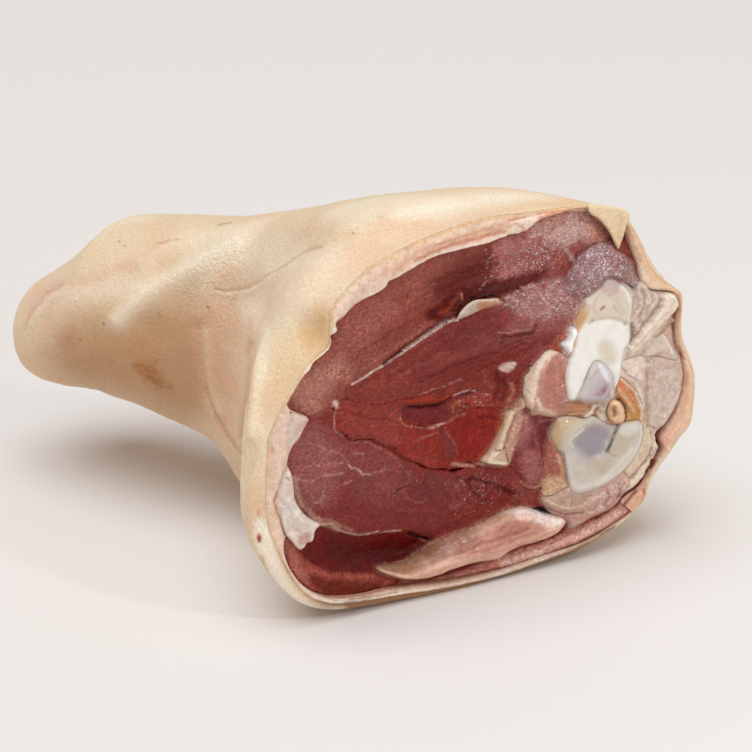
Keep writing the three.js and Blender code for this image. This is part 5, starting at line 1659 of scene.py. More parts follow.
INNER_MUSCLE = piece_of(
    "inner_muscle_body", "inner_muscle", "deep_muscle",
    [(338, 400), (350, 400), (380, 405), (400, 400), (420, 396), (440, 388), (460, 380), (480, 370),
     (495, 363), (507.6, 367), (520, 365), (532, 372), (534, 392), (524, 404), (510, 416), (485, 408),
     (470, 409.1), (453.4, 417.9), (444.6, 425.2), (435.8, 426.7), (424.1, 426.7), (410.9, 423.7),
     (400.6, 416.4), (402, 432), (396, 447), (384.5, 444.3), (372.7, 439.9), (358, 439.2), (347.8, 437),
     (340.4, 434), (334.6, 429.6), (336, 423.7), (334.6, 412), (335, 404)],
    "803832", look="meat", wet=0.45, grain=FIBRES,
    marks=[
        area([(340, 402), (360, 405), (380, 409), (398, 412), (400, 440), (390, 446), (360, 436),
              (342, 430)], 7, 0.3, "8d3f37", 0.6, wobble=2),
        area([(402, 440), (404, 424), (418, 430), (430, 446), (440, 462), (424, 468), (408, 458)], 5, 0.1,
             "8b3b34", 0.6, wobble=2),
        # deep folds of the middle, with painted shade in the dark hollow and the darkest lines
        area([(403, 402), (412, 398), (430, 396), (442, 397.5), (450, 394), (456, 396), (444, 402),
              (424, 403), (410, 404)], 1.8, 0.5, "93382a", 0.85, wobble=0.8),
        area([(456, 402), (470, 396), (486, 393), (496, 397), (486, 404), (470, 409), (458, 411)], 2.4,
             0.3,
             "8f3a2d", 0.7, wobble=1.5, wet=0.2),
        area([(402, 408), (420, 406), (442, 404), (450, 410), (448, 420), (434, 425), (416, 423),
              (404, 416)], 3.5, -0.5, "6c2c30", 0.75, wobble=1.5),
        line([(408, 406.5), (420, 405.8), (434, 404.6), (446, 401)], 1.3, -1.3, "32100f", 0.9,
             wobble=0.7),
        line([(446, 400.5), (453, 396.6), (462, 393.4), (472, 391)], 1.2, -0.9, "40151a", 0.8,
             wobble=0.5),
        line([(420, 395.6), (430.7, 390.4), (442, 386.8), (454, 382.2), (462, 379.8)], 0.65, 0.4,
             "b9857b",
             0.65, wobble=0.6),
        line([(453, 396), (460, 392.6), (468, 390.4), (475, 391)], 0.7, 0.5, "c9a4a4", 0.7, wobble=0.5),
        line([(454, 411.6), (453.6, 406), (457, 402.4), (460, 405)], 1.1, 0.7, "c0663f", 0.85,
             wobble=0.5),
        line([(456, 410), (462, 408), (468, 404)], 1.0, -0.7, "451513", 0.7, wobble=0.8),
        area([(498, 369), (502, 364), (509, 362), (517, 363), (514, 369), (506, 372)], 1.2, 0.7, "d9bdae",
             0.8, wobble=1),
        line([(496, 374), (499, 386), (496, 398)], 3.2, -0.7, "5e2422", 0.65, wobble=1.5),
        line([(503, 376), (505, 388), (502, 400)], 2.0, -0.4, "5f2220", 0.7, wobble=1.5),
        line([(483, 372), (486, 382), (496, 388)], 1.4, 0.3, "95504a", 0.6, wobble=1.5),
        line([(350, 412), (370, 418), (392, 420)], 1.2, -0.3, "6b2826", 0.5, wobble=1.5),
        line([(511, 384), (513, 393), (508, 402)], 2.2, 0.3, "a8705c", 0.7, wobble=1),
        # pale bow under the folds
        line([(400, 416), (402, 422), (408, 425.6), (416, 427.2), (426, 428.2), (436, 427.4),
              (442, 424.4), (450, 420.6), (458, 416.4), (466, 413)], 0.6, 0.3, "bf8878", 0.65,
             wobble=0.7),
        line([(430, 427), (438, 426), (443, 423.4)], 1.0, 0.2, "d5ae9a", 0.7, wobble=1.2),
    ])
DEEP_MUSCLE = piece_of(
    "deep_muscle_body", "deep_muscle", "deep_muscle",
    [(400.6, 416.4), (410.9, 423.7), (424.1, 426.7), (435.8, 426.7), (444.6, 425.2), (453.4, 417.9),
     (470, 409.1), (485, 408), (508, 410), (506, 423), (500, 438), (492, 452), (484, 464), (474, 468),
     (460, 468), (446, 470), (431, 469), (421, 466), (411, 460), (402, 456), (396, 447), (402, 432)],
    "812f28", look="meat", wet=0.5, grain=FIBRES,
    marks=[
        area([(446, 424), (460, 416), (480, 412), (500, 416), (496, 434), (486, 450), (478, 460),
              (462, 456), (452, 440)], 5, 0.2, "84291f", 0.7, wobble=2),
        area([(438, 430), (446, 430), (452, 438), (456, 452), (448, 458), (440, 446)], 4, 0.0, "703a38",
             0.6,
             wobble=2),
        line([(446, 430), (450, 438), (456, 446), (458, 454)], 0.5, 0.1, "a87068", 0.45, wobble=1),
        line([(478, 418), (488, 417), (496, 419)], 0.9, -0.4, "5b1b16", 0.7, wobble=0.8),
        line([(498, 416), (496, 432), (488, 448), (479, 459)], 1.8, 0.2, "9c4630", 0.7, wobble=0.8),
        line([(418, 440), (428, 436), (438, 432)], 0.7, 0.2, "b57e74", 0.5, wobble=1.2),
        line([(454, 464), (466, 466), (474, 465), (484, 464.6)], 1.8, 0.3, "c3998c", 0.7, wobble=1.2),
        # dark crack along the lower edge: painted shade
        line([(466, 462), (474, 464.6), (480, 466)], 1.0, -0.7, "3c1110", 0.8, wobble=0.6),
    ])
LOWER_MUSCLE = piece_of(
    "lower_muscle_body", "lower_muscle", "muscle",
    [(308.9, 417.9), (320, 412), (330, 408), (334.6, 412), (336, 423.7), (334.6, 429.6), (340.4, 434),
     (347.8, 437), (358, 439.2), (372.7, 439.9), (384.5, 444.3), (394.7, 448.7), (402.1, 456),
     (410.9, 460.4), (421.1, 466.3), (431.4, 469.2), (446.1, 470), (454.9, 472.2), (480, 463),
     (488, 463.7), (504.7, 466.2), (511, 461), (526, 487), (533, 488), (540, 489), (545, 500), (536, 508),
     (520, 507), (503, 511), (486, 519), (461, 534), (446, 538), (431, 541), (420, 536), (409.4, 531.6),
     (396.2, 530.1), (384.5, 531.6), (372.7, 533.8), (358, 534.5), (346.3, 532.3), (336, 528.7),
     (328.7, 525), (320.6, 524.3), (300, 530), (270, 500), (270, 440), (300, 415)],
    "7c3734", look="meat", wet=0.45, grain=FIBRES,
    marks=[
        area([(286, 440), (312, 425), (334, 440), (344, 462), (330, 500), (310, 512), (290, 480)], 12,
             0.1,
             "99605a", 0.7, wobble=3),
        area([(350, 445), (390, 455), (410, 480), (398, 500), (370, 505), (345, 485)], 14, 0.0, "844a46",
             0.6,
             wobble=4),
        area([(400, 462), (450, 474), (490, 470), (500, 490), (470, 505), (420, 500)], 10, 0.0, "6f2f2e",
             0.6,
             wobble=4, wet=0.08),
        area([(455, 480), (490, 468), (530, 492), (540, 502), (505, 508), (480, 517), (455, 520)], 8,
             -0.3,
             "7b302b", 0.8, wobble=4, wet=0.1),
        area([(515, 478), (532, 490), (536, 500), (522, 503), (512, 492)], 5, 0.2, "8a463c", 0.7,
             wobble=2),
        # crack between this muscle and the ones above it, painted dark as the shade in it
        line([(341, 432), (347, 437), (352, 439.4), (362, 440), (370, 439.6), (378, 443), (385, 447),
              (393, 451), (400, 456), (410, 461.4), (418, 463.4), (425, 468), (434, 469.6), (446, 469.4)],
             0.8, -0.9, "4c1c1b", 0.65, wobble=0.8),
        line([(352, 443), (368, 443), (384, 450.6), (397, 458.6)], 0.8, 0.3, "aa7468", 0.5, wobble=1.0),
        # pale threads
        line([(309, 443), (318.7, 445.8), (328.3, 450.6), (336.9, 452.5), (343.6, 456.4), (347.4, 461),
              (350.3, 466.9)], 0.55, 0.05, "c08d80", 0.6, wobble=0.8),
        line([(349, 465), (353, 468), (358, 469.8), (362.7, 473.4), (370.4, 474.6)], 0.8, 0.1, "cfa99d",
             0.65,
             wobble=1.4),
        line([(295.7, 478.4), (302.4, 481), (312, 480.8), (320.6, 476.6), (328.3, 475.4), (336.9, 475),
              (343.6, 472.2)], 0.6, 0.1, "cb9e90", 0.65, wobble=0.6),
        line([(305, 467), (314, 465.4), (324, 466.4)], 0.5, 0, "b07c70", 0.5, wobble=0.8),
        line([(329, 463.6), (339.8, 463.4), (344.5, 460.2)], 0.55, 0, "bb897d", 0.55, wobble=0.6),
        line([(340, 485.6), (346, 483), (351.4, 481)], 0.7, 0.1, "b58478", 0.6, wobble=0.8),
        line([(372, 474), (381, 471.2), (388, 468.6)], 0.6, 0.1, "b58478", 0.6, wobble=0.8),
        line([(398, 462), (404.8, 469.8), (409.6, 476.5), (407.8, 482), (403, 487), (395.3, 491),
              (393, 495)], 0.55, 0.1, "ac786d", 0.5, wobble=0.6),
        line([(394, 494), (399, 489.2), (405, 487)], 0.7, -0.7, "2e0d0e", 0.9, wobble=0.3),
        line([(404.8, 492.7), (409.6, 499.4), (413.4, 502.3), (424, 501.8)], 0.55, 0.1, "b08076", 0.5,
             wobble=0.8),
        line([(324, 491.6), (323.6, 496.4), (321, 499), (323, 501), (317, 503.6), (313, 502.6)], 0.8, 0.2,
             "b88c74", 0.7, wobble=1.2),
        line([(353, 453.5), (363, 453.6)], 0.7, 0.1, "bd8d80", 0.7, wobble=0.6),
        line([(334.9, 402), (335.8, 405.4)], 1.9, 0.5, "e6d3c6", 0.9, wobble=0.8),
        line([(335.4, 408), (334.6, 418), (334, 428)], 0.7, 0.2, "bb8f7e", 0.7, wobble=0.5),
        line([(333.8, 428), (337, 432), (343, 436)], 0.7, 0.1, "a87a6c", 0.6, wobble=0.5),
        # pale rim over the lowest muscle
        line([(294, 480), (297, 494), (303, 506), (311, 515), (322, 522), (338, 528)], 3.0, 0.2,
             "b5907e", 0.7,
             wobble=1.0),
        line([(314, 519), (320.6, 525), (330, 524), (336, 528.4), (343.6, 532), (355, 534.4),
              (364.6, 534.4),
              (374.2, 532.8), (385.7, 531.2), (401, 530.2)], 0.7, 0.4, "cfa798", 0.8, wobble=0.5),
        line([(322, 520), (330, 520), (340, 525.4), (352, 530)], 1.6, 0.2, "a87a6a", 0.55, wobble=1.0),
        line([(370, 500), (400, 510), (430, 512), (460, 506)], 1.8, 0.35, "88453e", 0.5, wobble=2.5),
        line([(470, 478), (490, 484), (512, 494)], 1.8, -0.9, "451414", 0.7, wobble=2.5),
        line([(478, 500), (500, 498), (520, 502)], 1.6, 0.6, "7f362f", 0.6, wobble=2.5),
        line([(500, 474), (512, 484), (524, 497)], 1.4, 0.6, "86423a", 0.6, wobble=2),
        line([(456, 476), (474, 490), (486, 504)], 1.2, -0.6, "4b1717", 0.6, wobble=2.5),
    ])
UPPER_MUSCLE = piece_of(
    "upper_muscle_body", "upper_muscle", "muscle",
    [(329, 346), (330, 320), (345, 290), (420, 250), (500, 225), (580, 195), (640, 210), (660, 275),
     (640, 285), (620, 260), (600, 247), (580, 256), (560, 275), (540, 285), (515, 294), (500, 304),
     (480, 304), (462, 314), (452, 324), (430, 338), (400, 358), (372, 376), (352, 390), (344, 400),
     (336, 406), (310, 420), (270, 400), (300, 360)],
    "8e4d44", look="meat", wet=0.45, grain=FIBRES,
    marks=[
        area([(285, 400), (300, 380), (322, 364), (340, 356), (352, 364), (340, 380), (326, 396),
              (312, 414)], 9, 0.2, "b07a6c", 0.85, wobble=3),
        area([(330, 350), (345, 318), (372, 296), (400, 290), (396, 320), (370, 345), (340, 362)], 10,
             0.1,
             "985950", 0.7, wobble=3),
        area([(396, 282), (430, 262), (462, 252), (486, 248), (484, 270), (450, 284), (410, 298)], 10,
             0.1,
             "95554a", 0.8, wobble=3),
        area([(380, 335), (420, 308), (450, 292), (470, 280), (452, 302), (440, 316), (410, 336),
              (384, 352)], 8, -0.4, "86433d", 0.75, wobble=3),
        # paler pink wet patches of the upper right, partly painted sheen
        area([(494, 244), (520, 236), (540, 232), (548, 250), (536, 268), (508, 280), (496, 270)], 7, 0.1,
             "ad706a", 0.8, wobble=3, wet=0.22),
        area([(528, 227), (545, 217), (570, 211), (588, 209), (590, 216), (566, 222), (546, 233),
              (530, 238)], 4,
             0, "c4958a", 0.7, wobble=3, wet=0.2),
        area([(486, 250), (496, 252), (498, 272), (490, 282), (484, 268)], 4, 0.1, "8c4029", 0.7,
             wobble=2,
             wet=0.25),
        # painted shade where the surface dips towards the seam
        area([(446, 268), (470, 252), (490, 246), (490, 284), (464, 296), (440, 302), (432, 286)], 8, 0,
             "652b29", 0.7, wobble=3),
        # deep valley above the flap, darkened as painted shadow, with a near-black line of painted shadow
        # along the flap's edge
        area([(425, 316), (446, 300), (470, 288), (500, 280), (530, 272), (548, 268), (540, 280),
              (510, 292),
              (495, 298), (470, 300), (455, 312), (440, 320)], 4.5, -1.2, "54191a", 0.85, wobble=1.5),
        line([(384, 364), (400, 351), (414, 340.6), (428, 331), (440, 323), (450, 317)], 2.2, -0.7,
             "54191a",
             0.75, wobble=0.6),
        line([(456, 315), (461, 308), (467, 301.6), (476, 297.4), (488, 296.4), (498, 295)], 1.6, -1.4,
             "1c0606", 0.9, wobble=0.5),
        line([(441, 313), (449.8, 306.6), (456, 300), (461.4, 293)], 2.6, 0.5, "97452e", 0.75,
             wobble=1.0),
        line([(461.8, 293), (462.4, 298)], 0.9, 0.3, "cf9f8c", 0.8, wobble=0.3),
        line([(479.6, 289), (483.4, 284.6), (486, 281)], 0.8, 0.3, "b98f88", 0.7, wobble=0.5),
        # pale pink wet patch, partly painted sheen
        area([(545, 235), (560, 222), (580, 216), (597, 220), (594, 234), (575, 243), (556, 250)], 7, 0.4,
             "c39d94", 0.85, wobble=4, wet=0.4),
        line([(563.8, 243.6), (568, 252), (573.2, 259.6)], 2.6, 0.6, "a07470", 0.7, wobble=1.5, wet=0.4),
        area([(582, 222), (596, 216), (608, 217), (611, 232), (604, 240), (590, 240)], 2.5, 0, "c08878",
             0.8, wobble=1),
        area([(525, 248), (545, 238), (560, 250), (560, 266), (540, 272), (522, 270)], 6, 0.0, "925049",
             0.6,
             wobble=2, wet=0.3),
        line([(340, 372), (362, 352), (388, 334), (416, 318)], 1.6, -0.3, "76352e", 0.45, wobble=2),
        line([(345, 382), (370, 364), (398, 346), (424, 330)], 1.4, 0.3, "a26e62", 0.4, wobble=1.5),
        line([(396, 300), (420, 288), (450, 276), (480, 268)], 1.5, -0.3, "6c302b", 0.35, wobble=2.5),
        line([(612, 250), (624, 256), (636, 264)], 2.0, 0.2, "a87268", 0.6, wobble=1),
    ])
BASE_MUSCLE = piece_of(
    "base_muscle_body", "base_muscle", "deep_muscle", None, "682019", look="meat", wet=0.5, grain=FIBRES,
    marks=[
        area([(282, 536), (290, 536), (298, 548), (306, 560), (321, 569), (340, 574), (365, 573),
              (380, 577),
              (396, 583), (366, 598), (330, 600), (300, 584)], 4.5, 0.3, "a8584c", 0.85, wobble=1),
        area([(283, 537), (290, 541), (297, 554), (303, 568), (312, 578), (306, 584), (294, 572),
              (286, 558)], 2.5, 0.1, "b87262", 0.8, wobble=1),
        # dark of the recessed lowest muscle and the line along it: painted shade over its own dark red
        area([(308, 574), (330, 578), (352, 580), (384, 582), (372, 593), (340, 597), (318, 591)], 5, 0,
             "5f241e", 0.85, wobble=1),
        area([(330, 538), (356, 542), (390, 540), (420, 544), (410, 556), (380, 566), (350, 566),
              (325, 556)], 9, -0.4, "561814", 0.9, wobble=2),
        line([(298, 550), (307, 560), (321.4, 568), (340.4, 572), (365.4, 571)], 1.2, -0.35, "571e1a",
             0.6,
             wobble=1.0),
        line([(302, 556), (314, 566), (330, 571), (350, 573)], 0.8, 0.2, "9c5c50", 0.5, wobble=1.0),
        # dark gap: painted shadow
        line([(409, 532.6), (414, 534.8), (419, 536.4), (425, 538.2), (432, 540)], 1.7, -1.3, "1c0505",
             0.92, wobble=0.5),
        line([(420, 538.6), (427, 541), (434, 541.6)], 0.7, 0.2, "a8786c", 0.6, wobble=0.5),
        area([(400, 582), (430, 580), (470, 568), (510, 553), (545, 542), (570, 530), (600, 518),
              (622, 505), (628, 512), (600, 530), (560, 548), (500, 568), (440, 584), (402, 588)], 3.0,
             0.3,
             "bb7a6c", 0.85, wobble=1, wet=0.2),
        area([(500, 560), (545, 544), (580, 530), (612, 512), (626, 510), (600, 530), (560, 548),
              (510, 566)], 3.0, 0.1, "d8a898", 0.8, wobble=1, wet=0.3),
        line([(440, 577), (475, 568), (510, 556), (550, 543), (585, 527)], 1.0, -0.3, "8a463c", 0.6,
             wobble=1),
        line([(600, 519), (612, 512), (620, 505)], 1.8, 0.4, "c99484", 0.7, wobble=1),
    ])

# Highest first: a piece takes what no piece before it holds, and the last takes the rest.
FACE_PIECES = [
    CARTILAGE_CHIP, UPPER_MENISCUS, LOWER_MENISCUS, SHIN_BONE, JOINT_LINING, TENDON_FLAP, LOWER_CAPSULE,
    TENDON_BAND, BAND_STRIP, JOINT_CAPSULE, FAT_PAD, KNEE_MUSCLE, DEEP_MUSCLE, MIDDLE_MUSCLE, INNER_MUSCLE,
    LOWER_MUSCLE, UPPER_MUSCLE, BASE_MUSCLE,
]
SHAFT_OVER = ("upper_meniscus", "lower_meniscus", "cartilage_chip", "joint_lining", "shin_bone")
SHAFT_TOP = -7.6
MEAT_WET = 0.45


def nearest_value(points, values):
    """Function that gives the value at the nearest of the points."""
    tree = tree_of(points)
    return lambda place: values[[tree.find((x, y, 0))[1] for x, y in place]]


def make_face():
    """All pieces of the cut face, and the shaft of the bone behind the joint. The face is divided
    twice: the first, coarser time finds its levels, and the second its outlines at those levels."""
    border = even_points(meat_edge, OUTLINE_STEP)

    def level_at(place):
        return meat_relief(*place.T)

    for step, rounds in ((2 * FACE_STEP, FIELD_ROUNDS // 4), (FACE_STEP, FIELD_ROUNDS)):
        outlines = [piece_outline(p, level_at) for p in FACE_PIECES if p["outline"]]
        points, corners, owner = divided_face(border, outlines, step)
        level = spread(at_points(points, corners, owner, own_level), corners, rounds)[:, 0]
        level_at = nearest_value(points, level)
    base = spread(at_points(points, corners, owner, own_base), corners, TINT_ROUNDS)
    shared = [mark for piece in FACE_PIECES if piece["look"] == "meat" for mark in piece["marks"]]
    rise = risen(points, level, shared)
    pixels = to_photo(cut_point(*points.T, rise))
    face = dict(level=level, base=base, shape=rise - level, tint=painted(pixels, shared, base),
                wet=wetted(pixels, shared, MEAT_WET))
    for index, piece in enumerate(FACE_PIECES):
        make_block(piece, points, held_by(index, corners, owner), face)
    over = [i for i, piece in enumerate(FACE_PIECES) if piece["node"] in SHAFT_OVER]
    shaft = dict(SHIN_BONE, name="shin_bone_shaft", marks=[], depth=99.0, grain=[], proud=0, drop=0)
    deep = dict(face, level=np.full(len(points), SHAFT_TOP))
    make_block(shaft, points, corners[np.isin(owner, over)], deep)


# Flaps that lie on the cut face

FLAP_STEP = 0.45
FLAP_GRID_GAP = 0.6
FLAP_FIBRES = 25
FLAP_BACK_SHADE = 0.8


def flap_of(name, node, slot, outline, level, thick, base, marks=(), look="tendon", wet=0.5, grain=()):
    """Settings of a thin flap, whose middle is level above the cut."""
    return dict(name=name, node=node, slot=slot, outline=outline, level=level, thick=thick, base=base,
                marks=list(marks), look=look, wet=wet, grain=list(grain))


FLAPS = [
    flap_of("rind_corner_flap", "rind_fat", "rind",
            [(588, 205), (600, 204.4), (612, 206.5), (622, 209), (628.4, 213), (629, 219), (626.5, 226),
             (623.4, 236), (620, 246), (618, 249.5), (615.4, 245.5), (612, 238), (608, 230.5), (603, 224),
             (597.5, 218.5), (590, 213.5)], 1.0, 0.9, "ead0ac",
            look="skin", wet=0.3,
            marks=[line([(622, 216), (620, 230), (618, 246)], 3.0, 0, "d9b184", 0.6),
                   line([(592, 214), (600, 219), (607, 227), (612, 237)], 1.2, 0, "d3a384", 0.6)]),
    flap_of("torn_fat_tongue", "rind_fat", "soft_fat",
            [(282, 498), (289, 496), (295, 501), (301, 510), (307, 516.5), (314, 520.6), (320.8, 524.4),
             (317.6, 527.6), (314.6, 532), (314, 537), (312, 541.6), (307, 543), (303.4, 547.6),
             (300, 550),
             (296, 547), (291.6, 541.4), (287, 536), (283, 526), (281, 512)], 1.1, 1.5, "dccabf",
            look="fat",
            wet=0.5, grain=[(2.4, 0.3, 2)],
            marks=[area([(300, 536), (307, 533), (312, 537), (309, 541), (303, 545), (298, 544)], 1.6, -0.3,
                        "b98478", 0.7, wobble=1),
                   line([(290, 506), (298, 516), (308, 524), (317, 526)], 1.6, 0.25, "e8ddd4", 0.6,
                        wobble=1),
                   line([(286, 514), (293, 526), (301, 533), (309, 533)], 1.2, -0.25, "c9aa9c", 0.6,
                        wobble=1)]),
    flap_of("fascia_flap", "middle_muscle", "tendon",
            [(456, 320), (457.6, 317.6), (459.6, 313.4), (463, 308.8), (467.6, 304.4), (472.6, 301.2),
             (477.4, 299.8), (482.4, 299.2), (488.6, 298.9), (494.8, 298.1), (498.4, 298.7),
             (499.5, 300.9),
             (505.4, 301.7), (501.4, 305.4), (494, 307.6), (484, 309.2), (476, 312.2), (469, 315.6),
             (462, 318.6)], 1.0, 1.1, "c0a08c", wet=0.35,
            marks=[area([(458, 320), (461, 311), (468, 304), (477, 300), (480, 304), (474, 311),
                        (464, 318)],
                        2.5, 0, "b39f90", 0.85),
                   area([(477, 304), (486, 301.6), (494, 302.6), (499, 305), (494, 309), (480, 312)],
                        2.2, -0.1,
                        "ad7449", 0.85),
                   area([(486, 307), (497, 304), (505, 301), (505, 308), (494, 312), (480, 314)], 2.0, 0,
                        "8c4638", 0.8),
                   line([(457.6, 318), (460, 313), (464, 308), (470, 303), (477, 300.2), (486, 299.6),
                         (494.8, 298.9), (498.6, 299.6)], 1.0, 0.3, "ecdccb", 0.9)]),
    flap_of("lining_fragment", "joint_lining", "joint_lining",
            [(607.6, 413.2), (610, 404), (614.2, 399.9), (620, 402), (623, 408), (623.3, 419.8),
             (617.5, 423.1), (610, 420)], 2.6, 2.6, "dfb891", look="fat", wet=0.6, grain=[(1.6, 0.25, 2)],
            marks=[line([(613.5, 408), (614.5, 415)], 2.2, -1.6, "7d431c", 0.9),
                   line([(611, 404), (618, 403), (621, 412)], 1.4, 0.3, "e5c29b", 0.7)]),
]


def flap_triangles(outline):
    """Triangles over the inside of an outline, with the points they use."""
    grid = hex_points(outline.min(0), outline.max(0), FLAP_STEP)
    grid = grid[inside(grid, outline)]
    grid = grid[gap_to(tree_of(outline), grid) > FLAP_GRID_GAP * FLAP_STEP]
    edges = [(i, (i + 1) % len(outline)) for i in range(len(outline))]
    place, corners = triangles_of(np.concatenate([outline, grid]), edges)
    corners = corners[inside(place[corners].mean(1), outline)]
    return compact(place, largest_part(corners))


def make_flap(flap):
    """A thin closed flap: a front and a back over the same outline, thinning to a rounded edge."""
    path = smooth_path(flap["outline"], FINE_PATH)
    place, corners = flap_triangles(even_points(on_cut(path, flap["level"]), FLAP_STEP))
    rim = np.unique(border_edges(corners))
    half = flap["thick"] / 2
    lean = 1 - np.clip(gap_to(tree_of(place[rim]), place) / half, 0, 1)
    bulge = half * np.sqrt(1 - lean ** 2)
    rise = flap["level"] + bulge
    flat = cut_point(*place.T, 0.0)
    for size, amount, octaves in flap["grain"]:
        rise = rise + amount * noise(flat, size, int(size * 10), octaves) * (bulge / half)
    front = cut_point(*place.T, rise)
    for _ in range(2):
        marks = shaped(to_photo(front), flap["marks"])
        front = cut_point(*place.T, rise + marks * (bulge / half))
    inner = np.setdiff1d(np.arange(len(place)), rim)
    back = cut_point(*place[inner].T, (flap["level"] - bulge)[inner])
    number = np.arange(len(place))
    number[inner] = len(place) + np.arange(len(inner))
    pixels = to_photo(front)
    tint = painted(pixels, flap["marks"], np.tile(colour(flap["base"]), (len(pixels), 1)))
    tints = np.concatenate([tint, tint[inner] * FLAP_BACK_SHADE])
    wets = np.full(len(tints), flap["wet"])
    points = np.concatenate([front, back])
    make_piece(flap["name"], points, [corners, number[corners][:, ::-1]], tints, wets, flap["look"],
               [flap["node"]], fibre=along_fibres(points, FLAP_FIBRES))


# Materials

def new_node(tree, kind, inputs=(), **settings):
    """A shader node with its settings, and its inputs set to values or joined to other sockets."""
    node = tree.nodes.new(kind)
    for name, value in settings.items():
        setattr(node, name, value)
    for name, value in dict(inputs).items():
        socket = node.inputs[name]
        if isinstance(value, bpy.types.NodeSocket):
            tree.links.new(value, socket)
        else:
            socket.default_value = value
    return node


def ranged(tree, value, low, high, start=0.0, end=1.0):
    """The value moved from the range start to end into the range low to high."""
    return new_node(tree, "ShaderNodeMapRange", {"Value": value, "From Min": start, "From Max": end,
                                                 "To Min": low, "To Max": high}).outputs["Result"]


def speckle(tree, place, size, detail=2.0, distortion=0.0):
    """Noise over places, with features of about that size in their own units."""
    return new_node(tree, "ShaderNodeTexNoise", {"Vector": place, "Scale": 1 / size, "Detail": detail,
                                                 "Distortion": distortion}).outputs["Fac"]


LOOKS = {
    # grain: (size in mm, height in mm) of the bumps over fibres; mottle and streak: (size in mm,
    # strength) of the colour; net: (size in mm, strength) of the pale threads round bundles of fibres;
    # glints and dots: (size in mm, strength) of the worm-like and round wet sparkles; rough and coat:
    # (dry, wet) roughness and film; film: the light that the wet surface adds
    "meat": dict(grain=[(1.1, 0.26), (0.45, 0.16)], mottle=(0.8, 0.25), streak=(0.42, 0.42),
                 rough=(0.5, 0.32), coat=(0.0, 0.35), coat_rough=0.12, scatter=0.08,
                 radius=(3.0, 0.9, 0.6), specular=0.15, film=0.016,
                 glints=(0.7, 0.9), dots=(0.42, 1.0), net=(0.75, 0.6)),
    "cartilage": dict(grain=[(2.2, 0.06)], mottle=(2.5, 0.05), streak=(1.5, 0.03),
                      rough=(0.4, 0.25), coat=(0.2, 0.7), coat_rough=0.08, scatter=0.25,
                      radius=(2.0, 1.5, 1.2), specular=0.5, film=0.010),
    "fat": dict(grain=[(1.3, 0.26), (0.5, 0.10)], mottle=(1.6, 0.14), streak=(0.8, 0.12),
                rough=(0.55, 0.34), coat=(0.05, 0.7), coat_rough=0.15, scatter=0.22,
                radius=(2.4, 1.3, 0.9), specular=0.45, film=0.012,
                glints=(0.9, 0.5), dots=(0.5, 0.9), net=(1.4, 0.12)),
    "tendon": dict(grain=[(1.1, 0.22), (0.5, 0.08)], mottle=(1.8, 0.12), streak=(0.6, 0.22),
                   rough=(0.5, 0.3), coat=(0.1, 0.8), coat_rough=0.12, scatter=0.18,
                   radius=(2.2, 1.1, 0.8), specular=0.5, film=0.015,
                   glints=(0.9, 0.5), dots=(0.5, 0.9), net=(1.0, 0.15)),
    "skin": dict(grain=[(2.0, 0.14), (0.8, 0.5)], mottle=(0.7, 0.10), streak=(0.6, 0.09),
                 rough=(0.6, 0.42), coat=(0.0, 0.0), coat_rough=0.3, scatter=0.22,
                 radius=(2.6, 1.4, 0.9), specular=0.35, film=0.008),
}
MILLIMETRE = 0.001
NET_THREAD = 0.10  # half width of a thread of the net, in cells
NET_PATCHES = 5.0  # millimetres, as for the other patches
# worm-like glints and round dots are highlights painted into the colour where it is wet
GLINT_WIDTH = 0.035
GLINT_PATCHES = 1.9
GLINT_TINT = (0.9, 0.87, 0.88, 1)
SPARKLE_PATCHES = 3.2
SPARKLE_EDGE = (0.16, 0.36)  # a dot fades out between these distances from its middle, in cells
SPARKLE_TINT = (0.9, 0.85, 0.86, 1)
FILM_PATCHES = 2.4


def combined(tree, operation, *values):
    """Values put through one step of arithmetic."""
    return new_node(tree, "ShaderNodeMath", dict(enumerate(values)), operation=operation).outputs[0]


def mesh_value(tree, name, output):
    """What the mesh holds at each point under that name."""
    return new_node(tree, "ShaderNodeAttribute", attribute_name=name).outputs[output]


def laid_over(tree, share, under, over):
    """The colour under, with that share of the colour over."""
    inputs = {"Fac": share, "Color1": under, "Color2": over}
    return new_node(tree, "ShaderNodeMixRGB", inputs).outputs["Color"]


def mottled(tree, look, place, fibre):
    """Factor of the colour at each point: mottling, streaks along the fibres, and the net of pale
    threads round bundles of them."""
    size, strength = look["mottle"]
    blotch = speckle(tree, place, size / 1000, 3.0)
    mottle = ranged(tree, blotch, 1 - strength, 1 + strength, 0.25, 0.75)
    size, strength = look["streak"]
    streak = speckle(tree, fibre, size, 3.0, 0.6)
    streak = ranged(tree, streak, 1 - strength, 1 + strength, 0.25, 0.75)
    factor = combined(tree, "MULTIPLY", mottle, streak)
    if "net" in look:
        size, strength = look["net"]
        cells = new_node(tree, "ShaderNodeTexVoronoi", {"Vector": fibre, "Scale": 1 / size},
                         feature="DISTANCE_TO_EDGE").outputs["Distance"]
        thread = ranged(tree, cells, 1.0, 0.0, 0.0, NET_THREAD)
        patch = ranged(tree, speckle(tree, place, NET_PATCHES / 1000), 0.1, 1.0, 0.4, 0.62)
        net = ranged(tree, combined(tree, "MULTIPLY", thread, patch), 1.0, 1 + strength)
        factor = combined(tree, "MULTIPLY", factor, net)
    return factor


def glinting(tree, look, place, fibre, wet):
    """How strongly worm-like glints show at each point: lines where noise passes through its middle
    value, broken into patches, and only where it is wet."""
    size, strength = look["glints"]
    off = combined(tree, "SUBTRACT", speckle(tree, fibre, size, 1.0, 0.8), 0.5)
    worm = ranged(tree, combined(tree, "ABSOLUTE", off), 1.0, 0.0, 0.0, GLINT_WIDTH)
    patch = ranged(tree, speckle(tree, place, GLINT_PATCHES / 1000, 1.0), 0.0, 1.0, 0.44, 0.56)
    glint = combined(tree, "MULTIPLY", worm, patch)
    return combined(tree, "MULTIPLY", glint, ranged(tree, wet, 0.0, strength, 0.5, 1.0))


